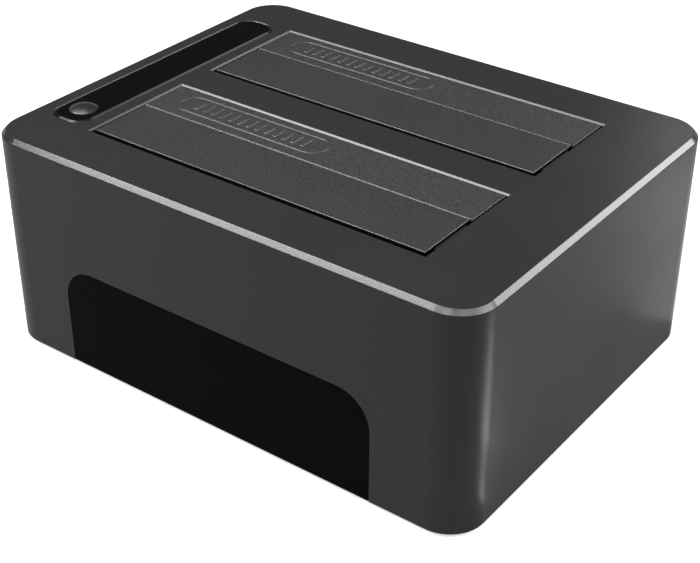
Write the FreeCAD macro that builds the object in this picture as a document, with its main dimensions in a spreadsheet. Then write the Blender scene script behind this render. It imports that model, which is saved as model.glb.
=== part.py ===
import FreeCAD, Part
import os
import Sketcher

# Two-bay docking station for bare drives, in millimetres.
# X runs along the wide front face, Y from front to rear, Z up.
# The origin is the middle of the footprint, on the surface that the feet stand on.

sizes = {
    # Case
    "housing_width": 150.0,
    "housing_depth": 116.0,
    "housing_height": 62.0,
    "corner_radius": 10.0,
    "top_edge_chamfer": 1.25,
    "top_edge_softening": 0.3,
    "side_wall": 2.2,
    "top_wall": 2.5,
    "foot_proud": 1.0,
    "foot_radius": 6.0,
    "foot_thickness": 1.8,
    "foot_from_side": 29.0,
    "foot_from_front": 11.0,
    "foot_recess_gap": 0.2,
    "base_thickness": 2.2,
    "base_gap": 0.25,
    "vent_width": 2.4,
    "vent_length": 40.0,
    "vent_pitch": 6.0,
    "vent_count": 8,
    "vent_end_radius": 1.1,
    # Drive openings in the top
    "opening_width": 105.0,
    "opening_depth": 35.5,
    "opening_from_side": 21.9,
    "bay_pitch": 47.8,
    "opening_chamfer": 0.4,
    # Drive doors
    "door_drop": 0.2,
    "door_left_gap": 0.3,
    "door_right_gap": 0.5,
    "door_rear_gap": 0.35,
    "door_front_gap": 2.0,
    "door_thickness": 2.0,
    "leaf_depth": 20.5,
    "leaf_step_height": 0.2,
    "leaf_fall": 0.1,
    "leaf_right_gap": 1.4,
    "lip_reach": 0.75,
    "lip_thickness": 1.0,
    "lip_width": 2.0,
    "lip_gap": 0.3,
    "hinge_drop": 4.3,
    "barrel_radius": 2.3,
    "rod_radius": 1.0,
    "rod_running_gap": 0.05,
    "rod_end_inset": 0.3,
    "barrel_rear_overhang": 0.3,
    # Raised oblong frame on each door, filled with short grip ribs
    "frame_length": 49.0,
    "frame_height": 9.0,
    "frame_line": 0.5,
    "frame_rise": 0.2,
    "frame_radius": 4.4,
    "frame_from_left": 6.6,
    "frame_from_rear": 7.2,
    "grip_rib_count": 13,
    "grip_rib_pitch": 3.0,
    "grip_rib_width": 0.9,
    "grip_rib_length": 4.2,
    # Door springs
    "spring_from_left": 8.0,
    "spring_room": 8.0,
    "spring_end_gap": 0.4,
    "spring_inner_radius": 1.15,
    "spring_wire": 0.5,
    "spring_leg": 6.0,
    "spring_leg_radius": 0.2,
    "spring_leg_inset": 0.35,
    # Drive bay liners
    "liner_wall": 1.6,
    "liner_floor": 1.6,
    "liner_front_room": 1.55,
    "liner_rear_room": 0.6,
    "liner_seat_gap": 0.1,
    "guide_rib_height": 24.0,
    "guide_rib_width": 2.0,
    "guide_rib_proud": 1.0,
    "guide_rib_pitch": 29.0,
    "guide_rib_count": 4,
    "side_rib_proud": 0.75,
    "side_rib_wall_gap": 0.3,
    "side_rib_tip_drop": 0.7,
    "side_rib_length": 13.0,
    "side_rib_from_front": 4.8,
    "side_rib_drop": 0.5,
    "ear_wall_gap": 0.3,
    "ear_width": 8.0,
    "ear_thickness": 3.0,
    "ear_drop": 5.0,
    "ear_spread": 70.0,
    "ear_boss_radius": 2.3,
    # Drive connectors
    "connector_shift": 15.0,
    "connector_from_stop": 3.5,
    "connector_length": 42.8,
    "connector_depth": 5.8,
    "connector_base_length": 46.0,
    "connector_base_depth": 6.6,
    "connector_proud": 5.0,
    "connector_slot_gap": 0.8,
    "signal_slot_length": 10.4,
    "power_slot_length": 20.6,
    "mating_slot_width": 2.2,
    "mating_slot_depth": 4.4,
    "mating_slot_spacing": 2.4,
    "signal_contact_count": 7,
    "power_contact_count": 15,
    "contact_pitch": 1.27,
    "contact_width": 0.7,
    "contact_thickness": 0.4,
    "contact_height": 3.6,
    # Main circuit board
    "standoff_height": 2.8,
    "standoff_radius": 3.0,
    "standoff_from_board_edge": 5.0,
    "standoff_spread_y": 68.0,
    "board_thickness": 1.6,
    "board_side_room": 13.8,
    "board_front_room": 5.8,
    "board_rear_gap": 0.4,
    "port_room": 13.3,
    # Rear ports
    "port_recess_depth": 1.6,
    "port_recess_width": 84.0,
    "port_recess_bottom": 6.2,
    "port_recess_height": 17.0,
    "port_recess_radius": 3.0,
    "port_gap": 0.25,
    "usb_x": -22.0,
    "usb_width": 12.0,
    "usb_height": 12.4,
    "usb_depth": 17.2,
    "usb_sheet": 0.4,
    "usb_block_depth": 6.0,
    "usb_tongue_inset": 0.8,
    "usb_tongue_width": 5.6,
    "usb_tongue_bottom": 2.2,
    "usb_tongue_thickness": 3.1,
    "usb_upper_width": 4.6,
    "usb_upper_bottom": 8.0,
    "usb_upper_thickness": 1.4,
    "usb_contact_width": 1.4,
    "usb_contact_pitch": 2.8,
    "usb_contact_thickness": 0.3,
    "usb_contact_inset": 1.0,
    "usb_fast_width": 0.6,
    "usb_fast_pitch": 0.9,
    "usb_fast_thickness": 0.2,
    "jack_x": 2.0,
    "jack_width": 9.2,
    "jack_height": 11.0,
    "jack_depth": 14.0,
    "jack_bore_radius": 3.1,
    "jack_bore_depth": 9.6,
    "jack_pin_radius": 1.0,
    "jack_pin_inset": 0.8,
    "switch_x": 26.0,
    "switch_length": 13.0,
    "switch_height": 8.4,
    "switch_depth": 11.6,
    "switch_case_wall": 0.6,
    "switch_bezel_length": 16.0,
    "switch_bezel_height": 11.0,
    "switch_bezel_thickness": 1.2,
    "switch_above_board": 6.6,
    "rocker_pivot_inset": 4.1,
    "rocker_half_length": 5.3,
    "rocker_rise": 3.2,
    "rocker_dip": 2.4,
    "rocker_heel": 0.6,
    "rocker_base": 2.2,
    "rocker_side_gap": 0.3,
    "rocker_tilt": 8.0,
    "rocker_pin_radius": 0.8,
    "rocker_pin_length": 0.55,
    "terminal_width": 2.0,
    "terminal_thickness": 0.6,
    "terminal_reach": 2.0,
    "terminal_pitch": 4.2,
    # Indicator strip on the top
    "strip_from_side": 11.5,
    "strip_width": 12.2,
    "strip_length": 82.0,
    "strip_radius": 4.6,
    "strip_recess": 1.0,
    "strip_recess_chamfer": 0.3,
    "strip_thickness": 1.15,
    "strip_gap": 0.15,
    "strip_chamfer": 0.4,
    "guide_bar_shift": 2.6,
    "guide_bar_width": 3.4,
    "guide_bar_length": 56.0,
    "guide_bar_centre_y": 6.0,
    "guide_bar_gap": 0.2,
    "guide_post_count": 5,
    "guide_post_pitch": 12.0,
    "guide_post_radius": 1.3,
    "light_gap": 0.3,
    "light_length": 3.0,
    "light_width": 1.6,
    "light_height": 1.1,
    "indicator_board_width": 11.4,
    "indicator_board_length": 78.0,
    "indicator_board_thickness": 1.2,
    "indicator_board_drop": 6.0,
    "indicator_post_shift": 3.6,
    "indicator_post_radius": 1.9,
    "indicator_post_from_front": 21.0,
    "indicator_post_from_rear": 9.0,
    # Clone button and its switch
    "button_from_strip_end": 7.4,
    "button_radius": 3.85,
    "button_hole_gap": 0.2,
    "button_dome": 1.2,
    "button_rim_proud": 0.1,
    "button_flange_radius": 4.9,
    "button_flange_thickness": 0.8,
    "button_flange_gap": 0.3,
    "button_stem_radius": 1.5,
    "tact_width": 6.0,
    "tact_height": 3.4,
    "plunger_radius": 1.75,
    "plunger_gap": 0.1,
    "plunger_proud": 1.4,
    "plunger_depth": 1.2,
    "plunger_room": 0.9,
    # Front panel
    "panel_from_left": 25.1,
    "panel_from_right": 26.3,
    "panel_height": 30.0,
    "panel_radius": 9.5,
    "panel_thickness": 1.0,
    "panel_gap": 0.15,
    # Ribbon between the two boards
    "header_inset": 0.5,
    "header_width": 4.0,
    "header_length": 12.0,
    "header_height": 3.4,
    "ribbon_width": 10.0,
    "ribbon_thickness": 0.5,
    "ribbon_bend": 3.0,
    # Fasteners
    "case_screw_from_side": 12.0,
    "case_screw_from_front": 11.0,
    "boss_radius": 3.5,
    "boss_gap": 0.1,
    "screw_radius": 1.1,
    "screw_hole_gap": 0.5,
    "screw_head_radius": 2.6,
    "screw_head_height": 1.2,
    "screw_length": 9.0,
    "small_screw_radius": 0.8,
    "small_head_radius": 1.7,
    "small_head_height": 1.0,
    "small_screw_length": 3.6,
    "head_seat_gap": 0.4,
    "pilot_extra": 0.6,
    # Components on the main board
    "chip_row_y": -10.0,
    "bridge_chip_x": -6.0,
    "bridge_chip_side": 12.0,
    "clone_chip_x": 16.0,
    "clone_chip_side": 9.0,
    "memory_x": 30.0,
    "crystal_x": -23.0,
    "chip_height": 1.2,
    "memory_length": 5.2,
    "memory_width": 4.0,
    "memory_height": 1.7,
    "crystal_length": 10.5,
    "crystal_width": 4.4,
    "crystal_height": 3.4,
    "capacitor_radius": 3.15,
    "capacitor_height": 8.0,
    "capacitor_pitch": 9.0,
    "capacitor_from_edge": 13.0,
    "capacitor_y": 20.0,
    "power_row_y": -22.0,
    "coil_from_edge": 13.0,
    "regulator_from_edge": 19.0,
    "coil_side": 7.0,
    "coil_height": 3.2,
    "coil_pitch": 11.0,
    "regulator_length": 6.5,
    "regulator_width": 5.5,
    "regulator_height": 2.3,
    "regulator_pitch": 11.0,
}

doc = FreeCAD.newDocument("docking_station")
sheet = doc.addObject("Spreadsheet::Sheet", "Sizes")


# A number together with the sheet expression that gives it, so that geometry and
# bindings are written once.
class Value:
    def __init__(self, number, words):
        self.number = number
        self.words = words

    def __add__(self, other):
        other = as_value(other)
        return Value(self.number + other.number, "(" + self.words + " + " + other.words + ")")

    def __sub__(self, other):
        other = as_value(other)
        return Value(self.number - other.number, "(" + self.words + " - " + other.words + ")")

    def __mul__(self, other):
        other = as_value(other)
        return Value(self.number * other.number, "(" + self.words + " * " + other.words + ")")

    def __truediv__(self, other):
        other = as_value(other)
        return Value(self.number / other.number, "(" + self.words + " / " + other.words + ")")

    def __neg__(self):
        return Value(-self.number, "(0 - " + self.words + ")")

    def __radd__(self, other):
        return as_value(other) + self

    def __rsub__(self, other):
        return as_value(other) - self

    def __rmul__(self, other):
        return as_value(other) * self


def as_value(thing):
    if isinstance(thing, Value):
        return thing
    return Value(float(thing), repr(float(thing)))


class Sizes:
    pass


size = Sizes()
for row, (alias, number) in enumerate(sizes.items(), start=1):
    sheet.set("A" + str(row), alias)
    sheet.set("B" + str(row), str(number))
    sheet.setAlias("B" + str(row), alias)
    setattr(size, alias, Value(float(number), "Sizes." + alias))
doc.recompute()

rotation_to = {
    "X": FreeCAD.Rotation(FreeCAD.Vector(0, 1, 0), 90),
    "Y": FreeCAD.Rotation(FreeCAD.Vector(1, 0, 0), -90),
    "Z": FreeCAD.Rotation(),
}
nodes = []


def bind(thing, name, value):
    thing.setExpression(name, as_value(value).words)


def bind_place(thing, name, place):
    for letter, value in zip("xyz", place):
        bind(thing, name + ".Base." + letter, value)


# Bodies and their features

def new_body(label):
    body = doc.addObject("PartDesign::Body", label)
    body.Label = label
    nodes.append(body)
    return body


def origin_plane(body, role):
    for feature in body.Origin.OriginFeatures:
        if feature.Role == role:
            return feature
    raise ValueError("no plane " + role)


def attach(feature, body, role="XY_Plane"):
    feature.AttachmentSupport = [(origin_plane(body, role), "")]
    feature.MapMode = "FlatFace"


def add_box(body, name, low, high, cut=False):
    kind = "PartDesign::SubtractiveBox" if cut else "PartDesign::AdditiveBox"
    box = body.newObject(kind, name)
    attach(box, body)
    box.Refine = False
    bind(box, "Length", high[0] - low[0])
    bind(box, "Width", high[1] - low[1])
    bind(box, "Height", high[2] - low[2])
    bind_place(box, "AttachmentOffset", low)
    return box


def add_rod(body, name, axis, start, radius, length, cut=False):
    kind = "PartDesign::SubtractiveCylinder" if cut else "PartDesign::AdditiveCylinder"
    rod = body.newObject(kind, name)
    attach(rod, body)
    rod.Refine = False
    rod.AttachmentOffset = FreeCAD.Placement(FreeCAD.Vector(), rotation_to[axis])
    bind(rod, "Radius", radius)
    bind(rod, "Height", length)
    bind_place(rod, "AttachmentOffset", start)
    return rod


def new_sketch(body, name, role, offset):
    sketch = body.newObject("Sketcher::SketchObject", name)
    attach(sketch, body, role)
    bind(sketch, "AttachmentOffset.Base.z", offset)
    return sketch


def pin_point(sketch, shape_index, point_index, place):
    for kind, value in (("DistanceX", place[0]), ("DistanceY", place[1])):
        value = as_value(value)
        index = sketch.addConstraint(
            Sketcher.Constraint(kind, -1, 1, shape_index, point_index, value.number))
        sketch.setExpression("Constraints[" + str(index) + "]", value.words)


# A closed outline of straight lines through the points given.
def polygon_sketch(body, name, role, offset, points):
    sketch = new_sketch(body, name, role, offset)
    points = [(as_value(across), as_value(along)) for across, along in points]
    vectors = [FreeCAD.Vector(across.number, along.number, 0) for across, along in points]
    count = len(vectors)
    for index in range(count):
        sketch.addGeometry(Part.LineSegment(vectors[index], vectors[(index + 1) % count]))
    for index in range(count):
        sketch.addConstraint(
            Sketcher.Constraint("Coincident", index, 2, (index + 1) % count, 1))
    for index in range(count):
        pin_point(sketch, index, 1, points[index])
    return sketch


# Adds one rounded rectangle to a sketch: four lines, and four arcs tangent to them.
def rounded_outline(sketch, low, high, radius):
    low = [as_value(value) for value in low]
    high = [as_value(value) for value in high]
    radius = as_value(radius)
    left, bottom = low[0].number, low[1].number
    right, top = high[0].number, high[1].number
    bend = radius.number
    first = sketch.GeometryCount
    corners = (
        ((right - bend, bottom), (right, bottom + bend), (right - bend, bottom + bend), 270),
        ((right, top - bend), (right - bend, top), (right - bend, top - bend), 0),
        ((left + bend, top), (left, top - bend), (left + bend, top - bend), 90),
        ((left, bottom + bend), (left + bend, bottom), (left + bend, bottom + bend), 180),
    )
    start = corners[3][1]
    for begin, end, centre, angle in corners:
        sketch.addGeometry(Part.LineSegment(FreeCAD.Vector(start[0], start[1], 0),
                                            FreeCAD.Vector(begin[0], begin[1], 0)))
        circle = Part.Circle(FreeCAD.Vector(centre[0], centre[1], 0), FreeCAD.Vector(0, 0, 1), bend)
        sketch.addGeometry(Part.ArcOfCircle(circle, angle_of(angle), angle_of(angle + 90)))
        start = end
    for step in range(4):
        line = first + 2 * step
        arc = line + 1
        following = first + (2 * step + 2) % 8
        sketch.addConstraint(Sketcher.Constraint("Tangent", line, 2, arc, 1))
        sketch.addConstraint(Sketcher.Constraint("Tangent", arc, 2, following, 1))
    for step, kind in enumerate(("Horizontal", "Vertical", "Horizontal", "Vertical")):
        sketch.addConstraint(Sketcher.Constraint(kind, first + 2 * step))
    for step in (1, 2, 3):
        sketch.addConstraint(Sketcher.Constraint("Equal", first + 1, first + 1 + 2 * step))
    bound = (
        ("Radius", (first + 1,), radius),
        ("DistanceY", (-1, 1, first, 1), low[1]),
        ("DistanceX", (-1, 1, first + 2, 1), high[0]),
        ("DistanceY", (-1, 1, first + 4, 1), high[1]),
        ("DistanceX", (-1, 1, first + 6, 1), low[0]),
    )
    for kind, targets, value in bound:
        index = sketch.addConstraint(Sketcher.Constraint(kind, *targets, value.number))
        sketch.setExpression("Constraints[" + str(index) + "]", value.words)


def angle_of(degrees):
    return FreeCAD.Units.Quantity(str(degrees) + " deg").getValueAs("rad").Value


def rounded_sketch(body, name, role, offset, low, high, radius):
    sketch = new_sketch(body, name, role, offset)
    rounded_outline(sketch, low, high, radius)
    return sketch


# Equal circles about the places given, all on one level.
def circles_sketch(body, name, offset, places, radius):
    sketch = new_sketch(body, name, "XY_Plane", offset)
    radius = as_value(radius)
    for index, (place_x, place_y) in enumerate(places):
        centre = FreeCAD.Vector(place_x.number, place_y.number, 0)
        sketch.addGeometry(Part.Circle(centre, FreeCAD.Vector(0, 0, 1), radius.number))
        pin_point(sketch, index, 3, (place_x, place_y))
        if index:
            sketch.addConstraint(Sketcher.Constraint("Equal", 0, index))
    index = sketch.addConstraint(Sketcher.Constraint("Radius", 0, radius.number))
    sketch.setExpression("Constraints[" + str(index) + "]", radius.words)
    return sketch


def pad(body, sketch, length, reverse=False):
    feature = body.newObject("PartDesign::Pad", sketch.Name + "_pad")
    feature.Profile = sketch
    feature.Reversed = reverse
    feature.Refine = False
    bind(feature, "Length", length)
    return feature


# A pocket must take material away, so its volume is compared with its base.
def pocket(body, sketch, length, reverse=False):
    doc.recompute()
    before = body.Shape.Volume
    feature = body.newObject("PartDesign::Pocket", sketch.Name + "_pocket")
    feature.Profile = sketch
    feature.Reversed = reverse
    feature.Refine = False
    bind(feature, "Length", length)
    doc.recompute()
    if body.Shape.Volume >= before:
        raise ValueError("pocket " + sketch.Name + " cuts nothing")
    return feature


def edges_where(body, test):
    doc.recompute()
    names = []
    for index, edge in enumerate(body.Shape.Edges, start=1):
        if test(edge.BoundBox):
            names.append("Edge" + str(index))
    if not names:
        raise ValueError("no edge found on " + body.Label)
    return names


def dress(body, kind, name, test, property_name, value):
    names = edges_where(body, test)
    base = body.Tip
    feature = body.newObject("PartDesign::" + kind, name)
    feature.Base = (base, names)
    bind(feature, property_name, value)
    return feature


def repeat(body, feature, axis_role, pitch, count):
    doc.recompute()
    pattern = body.newObject("PartDesign::LinearPattern", feature.Name + "_row")
    pattern.Originals = [feature]
    pattern.Direction = (origin_plane(body, axis_role), [""])
    pattern.Mode = "Spacing"
    bind(pattern, "Offset", pitch)
    pattern.setExpression("Occurrences", as_value(count).words)
    body.Tip = pattern
    return pattern


def near(value, target):
    return abs(value - as_value(target).number) < 0.001


def flat_at(box, height):
    return near(box.ZMin, height) and near(box.ZMax, height)


def within(box, left, right, front, rear):
    slack = 0.001
    return (box.XMin > left.number - slack and box.XMax < right.number + slack
            and box.YMin > front.number - slack and box.YMax < rear.number + slack)


# Plain solids and groups of them

def plain_box(name, low, high):
    box = doc.addObject("Part::Box", name)
    bind(box, "Length", high[0] - low[0])
    bind(box, "Width", high[1] - low[1])
    bind(box, "Height", high[2] - low[2])
    bind_place(box, "Placement", low)
    return box


def plain_rod(name, axis, start, radius, length):
    rod = doc.addObject("Part::Cylinder", name)
    rod.Placement = FreeCAD.Placement(FreeCAD.Vector(), rotation_to[axis])
    bind(rod, "Radius", radius)
    bind(rod, "Height", length)
    bind_place(rod, "Placement", start)
    return rod


def joined(name, members):
    joined_solid = doc.addObject("Part::MultiFuse", name)
    joined_solid.Shapes = members
    return joined_solid


def cut_from(name, base, tool):
    result = doc.addObject("Part::Cut", name)
    result.Base = base
    result.Tool = tool
    return result


def group_node(label, members):
    group = doc.addObject("Part::Compound", label)
    group.Links = members
    group.Label = label
    nodes.append(group)
    return group


def single_node(thing, label):
    thing.Label = label
    nodes.append(thing)
    return thing


# A pan-head screw that points up, with a plain drive slot across its head.
def screw(name, place, radius, head_radius, head_height, length):
    head = plain_rod(name + "_head", "Z", (place[0], place[1], place[2] - head_height),
                     head_radius, head_height)
    shank = plain_rod(name + "_shank", "Z", place, radius, length)
    whole = joined(name + "_whole", [head, shank])
    slot = plain_box(name + "_slot",
                     (place[0] - head_radius, place[1] - radius / 4, place[2] - head_height),
                     (place[0] + head_radius, place[1] + radius / 4, place[2] - head_height / 2))
    return cut_from(name, whole, slot)


# The same screw, pointing down.
def screw_down(name, place, radius, head_radius, head_height, length):
    head = plain_rod(name + "_head", "Z", place, head_radius, head_height)
    shank = plain_rod(name + "_shank", "Z", (place[0], place[1], place[2] - length), radius, length)
    whole = joined(name + "_whole", [head, shank])
    slot = plain_box(name + "_slot",
                     (place[0] - head_radius, place[1] - radius / 4, place[2] + head_height / 2),
                     (place[0] + head_radius, place[1] + radius / 4, place[2] + head_height))
    return cut_from(name, whole, slot)


# Levels and places shared by several pieces

zero = as_value(0)
# An added shape starts this far inside the one that it grows from
weld = as_value(0.5)
# A cutting shape runs this far past the face that it opens
past = as_value(1)
top = size.foot_proud + size.housing_height
under_top = top - size.top_wall
base_top = size.foot_proud + size.base_thickness
board_bottom = base_top + size.standoff_height
board_top = board_bottom + size.board_thickness
liner_bottom = board_top + size.port_room
bay_floor = liner_bottom + size.liner_floor
liner_top = under_top - size.liner_seat_gap
half_width = size.housing_width / 2
half_depth = size.housing_depth / 2
inner_x = half_width - size.side_wall
inner_y = half_depth - size.side_wall
opening_left = size.opening_from_side - half_width
opening_centre = opening_left + size.opening_width / 2
opening_right = opening_left + size.opening_width
hinge_height = top - size.hinge_drop
boss_bottom = base_top + size.boss_gap
recess_face = half_depth - size.port_recess_depth
rear_inner_face = recess_face - size.side_wall
indicator_board_top = under_top - size.indicator_board_drop
indicator_board_bottom = indicator_board_top - size.indicator_board_thickness
strip_floor = top - size.strip_recess
board_right = inner_x - size.board_side_room
board_left = -board_right
case_screw_x = half_width - size.case_screw_from_side
case_screw_y = half_depth - size.case_screw_from_front
foot_x = half_width - size.foot_from_side
foot_y = half_depth - size.foot_from_front
standoff_x = board_right - size.standoff_from_board_edge
standoff_y = size.standoff_spread_y / 2
case_screw_places = []
foot_places = []
standoff_places = []
for side_x in (-1, 1):
    for side_y in (-1, 1):
        case_screw_places.append((case_screw_x * side_x, case_screw_y * side_y))
        foot_places.append((foot_x * side_x, foot_y * side_y))
        standoff_places.append((standoff_x * side_x, standoff_y * side_y))
strip_x = size.strip_from_side - half_width
button_y = size.button_from_strip_end - size.strip_length / 2
indicator_post_x = strip_x - size.indicator_post_shift
indicator_post_places = [(indicator_post_x, size.indicator_post_from_front - size.strip_length / 2),
                         (indicator_post_x, size.strip_length / 2 - size.indicator_post_from_rear)]
guide_bar_x = strip_x + size.guide_bar_shift
panel_left = size.panel_from_left - half_width
panel_right = half_width - size.panel_from_right


class Bay:
    def __init__(self, name, side):
        self.name = name
        self.side = side
        centre = size.bay_pitch * (0.5 * side)
        self.front = centre - size.opening_depth / 2
        self.rear = centre + size.opening_depth / 2
        self.hinge_y = (self.rear - size.door_rear_gap - size.barrel_radius
                        + size.barrel_rear_overhang)
        self.liner_front = self.front - size.liner_front_room
        self.liner_rear = self.rear + size.liner_rear_room
        self.stop_y = self.liner_front + size.guide_rib_proud
        self.connector_y = self.stop_y + size.connector_from_stop
        self.connector_x = opening_centre + size.connector_shift
        if side < 0:
            self.ear_root = self.liner_front - size.liner_wall
        else:
            self.ear_root = self.liner_rear + size.liner_wall
        # The ears reach from the liner towards the case wall beside it
        self.ear_tip = (inner_y - size.ear_wall_gap) * side
        self.ear_y = (self.ear_root + self.ear_tip) / 2
        self.ear_places = [(opening_centre - size.ear_spread / 2, self.ear_y),
                           (opening_centre + size.ear_spread / 2, self.ear_y)]


bays = [Bay("front", -1), Bay("rear", 1)]
ear_top = under_top - size.ear_drop
ear_bottom = ear_top - size.ear_thickness
pilot_radius = size.screw_radius
clear_radius = size.screw_radius + size.screw_hole_gap
ear_clear_radius = size.small_screw_radius + size.screw_hole_gap / 2


# Upper housing: the top and all four walls in one moulding

def make_upper_housing():
    body = new_body("upper_housing")
    outline = rounded_sketch(body, "housing_outline", "XY_Plane", size.foot_proud,
                             (-half_width, -half_depth), (half_width, half_depth),
                             size.corner_radius)
    pad(body, outline, size.housing_height)
    dress(body, "Chamfer", "housing_top_chamfer", lambda box: flat_at(box, top),
          "Size", size.top_edge_chamfer)
    dress(body, "Fillet", "housing_top_softening",
          lambda box: flat_at(box, top) or flat_at(box, top - size.top_edge_chamfer),
          "Radius", size.top_edge_softening)
    cavity = rounded_sketch(body, "housing_cavity", "XY_Plane", size.foot_proud,
                            (-inner_x, -inner_y), (inner_x, inner_y),
                            size.corner_radius - size.side_wall)
    pocket(body, cavity, size.housing_height - size.top_wall, reverse=True)
    for bay in bays:
        add_box(body, bay.name + "_opening", (opening_left, bay.front, under_top - past),
                (opening_right, bay.rear, top + past), cut=True)
        dress(body, "Chamfer", bay.name + "_opening_edge",
              lambda box, bay=bay: flat_at(box, top) and within(box, opening_left, opening_right,
                                                                bay.front, bay.rear),
              "Size", size.opening_chamfer)
    # Thicker wall inside, behind the port recess
    add_box(body, "port_backing",
            (-size.port_recess_width / 2 - size.side_wall, rear_inner_face,
             base_top + size.boss_gap),
            (size.port_recess_width / 2 + size.side_wall, inner_y,
             size.port_recess_bottom + size.port_recess_height + size.side_wall))
    recess = rounded_sketch(body, "port_recess", "XZ_Plane", -half_depth,
                            (-size.port_recess_width / 2, size.port_recess_bottom),
                            (size.port_recess_width / 2,
                             size.port_recess_bottom + size.port_recess_height),
                            size.port_recess_radius)
    pocket(body, recess, size.port_recess_depth, reverse=True)
    for port in ports:
        add_box(body, port.name + "_window",
                (port.left - size.port_gap, rear_inner_face - past, port.bottom - size.port_gap),
                (port.right + size.port_gap, half_depth, port.top + size.port_gap), cut=True)
    strip_left = strip_x - size.strip_width / 2 - size.strip_gap
    strip_right = strip_x + size.strip_width / 2 + size.strip_gap
    strip_rear = size.strip_length / 2 + size.strip_gap
    strip = rounded_sketch(body, "strip_recess", "XY_Plane", top, (strip_left, -strip_rear),
                           (strip_right, strip_rear), size.strip_radius + size.strip_gap)
    pocket(body, strip, size.strip_recess)
    dress(body, "Chamfer", "strip_recess_edge",
          lambda box: flat_at(box, top) and within(box, strip_left, strip_right,
                                                   -strip_rear, strip_rear),
          "Size", size.strip_recess_chamfer)
    add_box(body, "guide_bar_window",
            (guide_bar_x - size.guide_bar_width / 2 - size.guide_bar_gap,
             size.guide_bar_centre_y - size.guide_bar_length / 2 - size.guide_bar_gap,
             under_top - past),
            (guide_bar_x + size.guide_bar_width / 2 + size.guide_bar_gap,
             size.guide_bar_centre_y + size.guide_bar_length / 2 + size.guide_bar_gap, top),
            cut=True)
    add_rod(body, "button_window", "Z", (strip_x, button_y, under_top - past),
            size.button_flange_radius + size.button_flange_gap, size.top_wall + past, cut=True)
    panel = rounded_sketch(body, "panel_recess", "XZ_Plane", half_depth,
                           (panel_left - size.panel_gap, -size.panel_radius),
                           (panel_right + size.panel_gap,
                            size.foot_proud + size.panel_height + size.panel_gap),
                           size.panel_radius + size.panel_gap)
    pocket(body, panel, size.panel_thickness)
    bosses = (
        ("case", case_screw_places, boss_bottom, size.boss_radius, pilot_radius,
         size.screw_length + size.pilot_extra),
        ("ear", bays[0].ear_places + bays[1].ear_places, ear_top, size.ear_boss_radius,
         size.small_screw_radius, size.ear_drop),
        ("indicator", indicator_post_places, indicator_board_top, size.indicator_post_radius,
         size.small_screw_radius, size.small_screw_length),
    )
    for name, places, bottom, radius, pilot, pilot_length in bosses:
        post = circles_sketch(body, name + "_posts", bottom, places, radius)
        pad(body, post, under_top - bottom + weld)
        hole = circles_sketch(body, name + "_pilots", bottom, places, pilot)
        pocket(body, hole, pilot_length, reverse=True)


# Base plate, with standoffs for the board, vents and recesses for the feet

def make_base_plate():
    body = new_body("base_plate")
    edge_x = inner_x - size.base_gap
    edge_y = inner_y - size.base_gap
    outline = rounded_sketch(body, "base_outline", "XY_Plane", size.foot_proud,
                             (-edge_x, -edge_y), (edge_x, edge_y),
                             size.corner_radius - size.side_wall - size.base_gap)
    pad(body, outline, size.base_thickness)
    pad(body, circles_sketch(body, "standoffs", base_top - weld, standoff_places,
                             size.standoff_radius), size.standoff_height + weld)
    pilot_length = size.small_screw_length - size.board_thickness + size.pilot_extra
    pocket(body, circles_sketch(body, "standoff_pilots", board_bottom, standoff_places,
                                size.small_screw_radius), pilot_length)
    pocket(body, circles_sketch(body, "foot_recesses", size.foot_proud, foot_places,
                                size.foot_radius + size.foot_recess_gap),
           size.foot_thickness - size.foot_proud, reverse=True)
    pocket(body, circles_sketch(body, "case_holes", size.foot_proud, case_screw_places,
                                clear_radius), size.base_thickness, reverse=True)
    pocket(body, circles_sketch(body, "case_head_seats", size.foot_proud, case_screw_places,
                                size.screw_head_radius + size.head_seat_gap),
           size.screw_head_height, reverse=True)
    first_x = size.vent_pitch * (1 - size.vent_count) / 2
    slot = rounded_sketch(body, "vent", "XY_Plane", size.foot_proud,
                          (first_x - size.vent_width / 2, -size.vent_length / 2),
                          (first_x + size.vent_width / 2, size.vent_length / 2),
                          size.vent_end_radius)
    vent = pocket(body, slot, size.base_thickness, reverse=True)
    repeat(body, vent, "X_Axis", size.vent_pitch, size.vent_count)


# Drive bay liners

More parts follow.
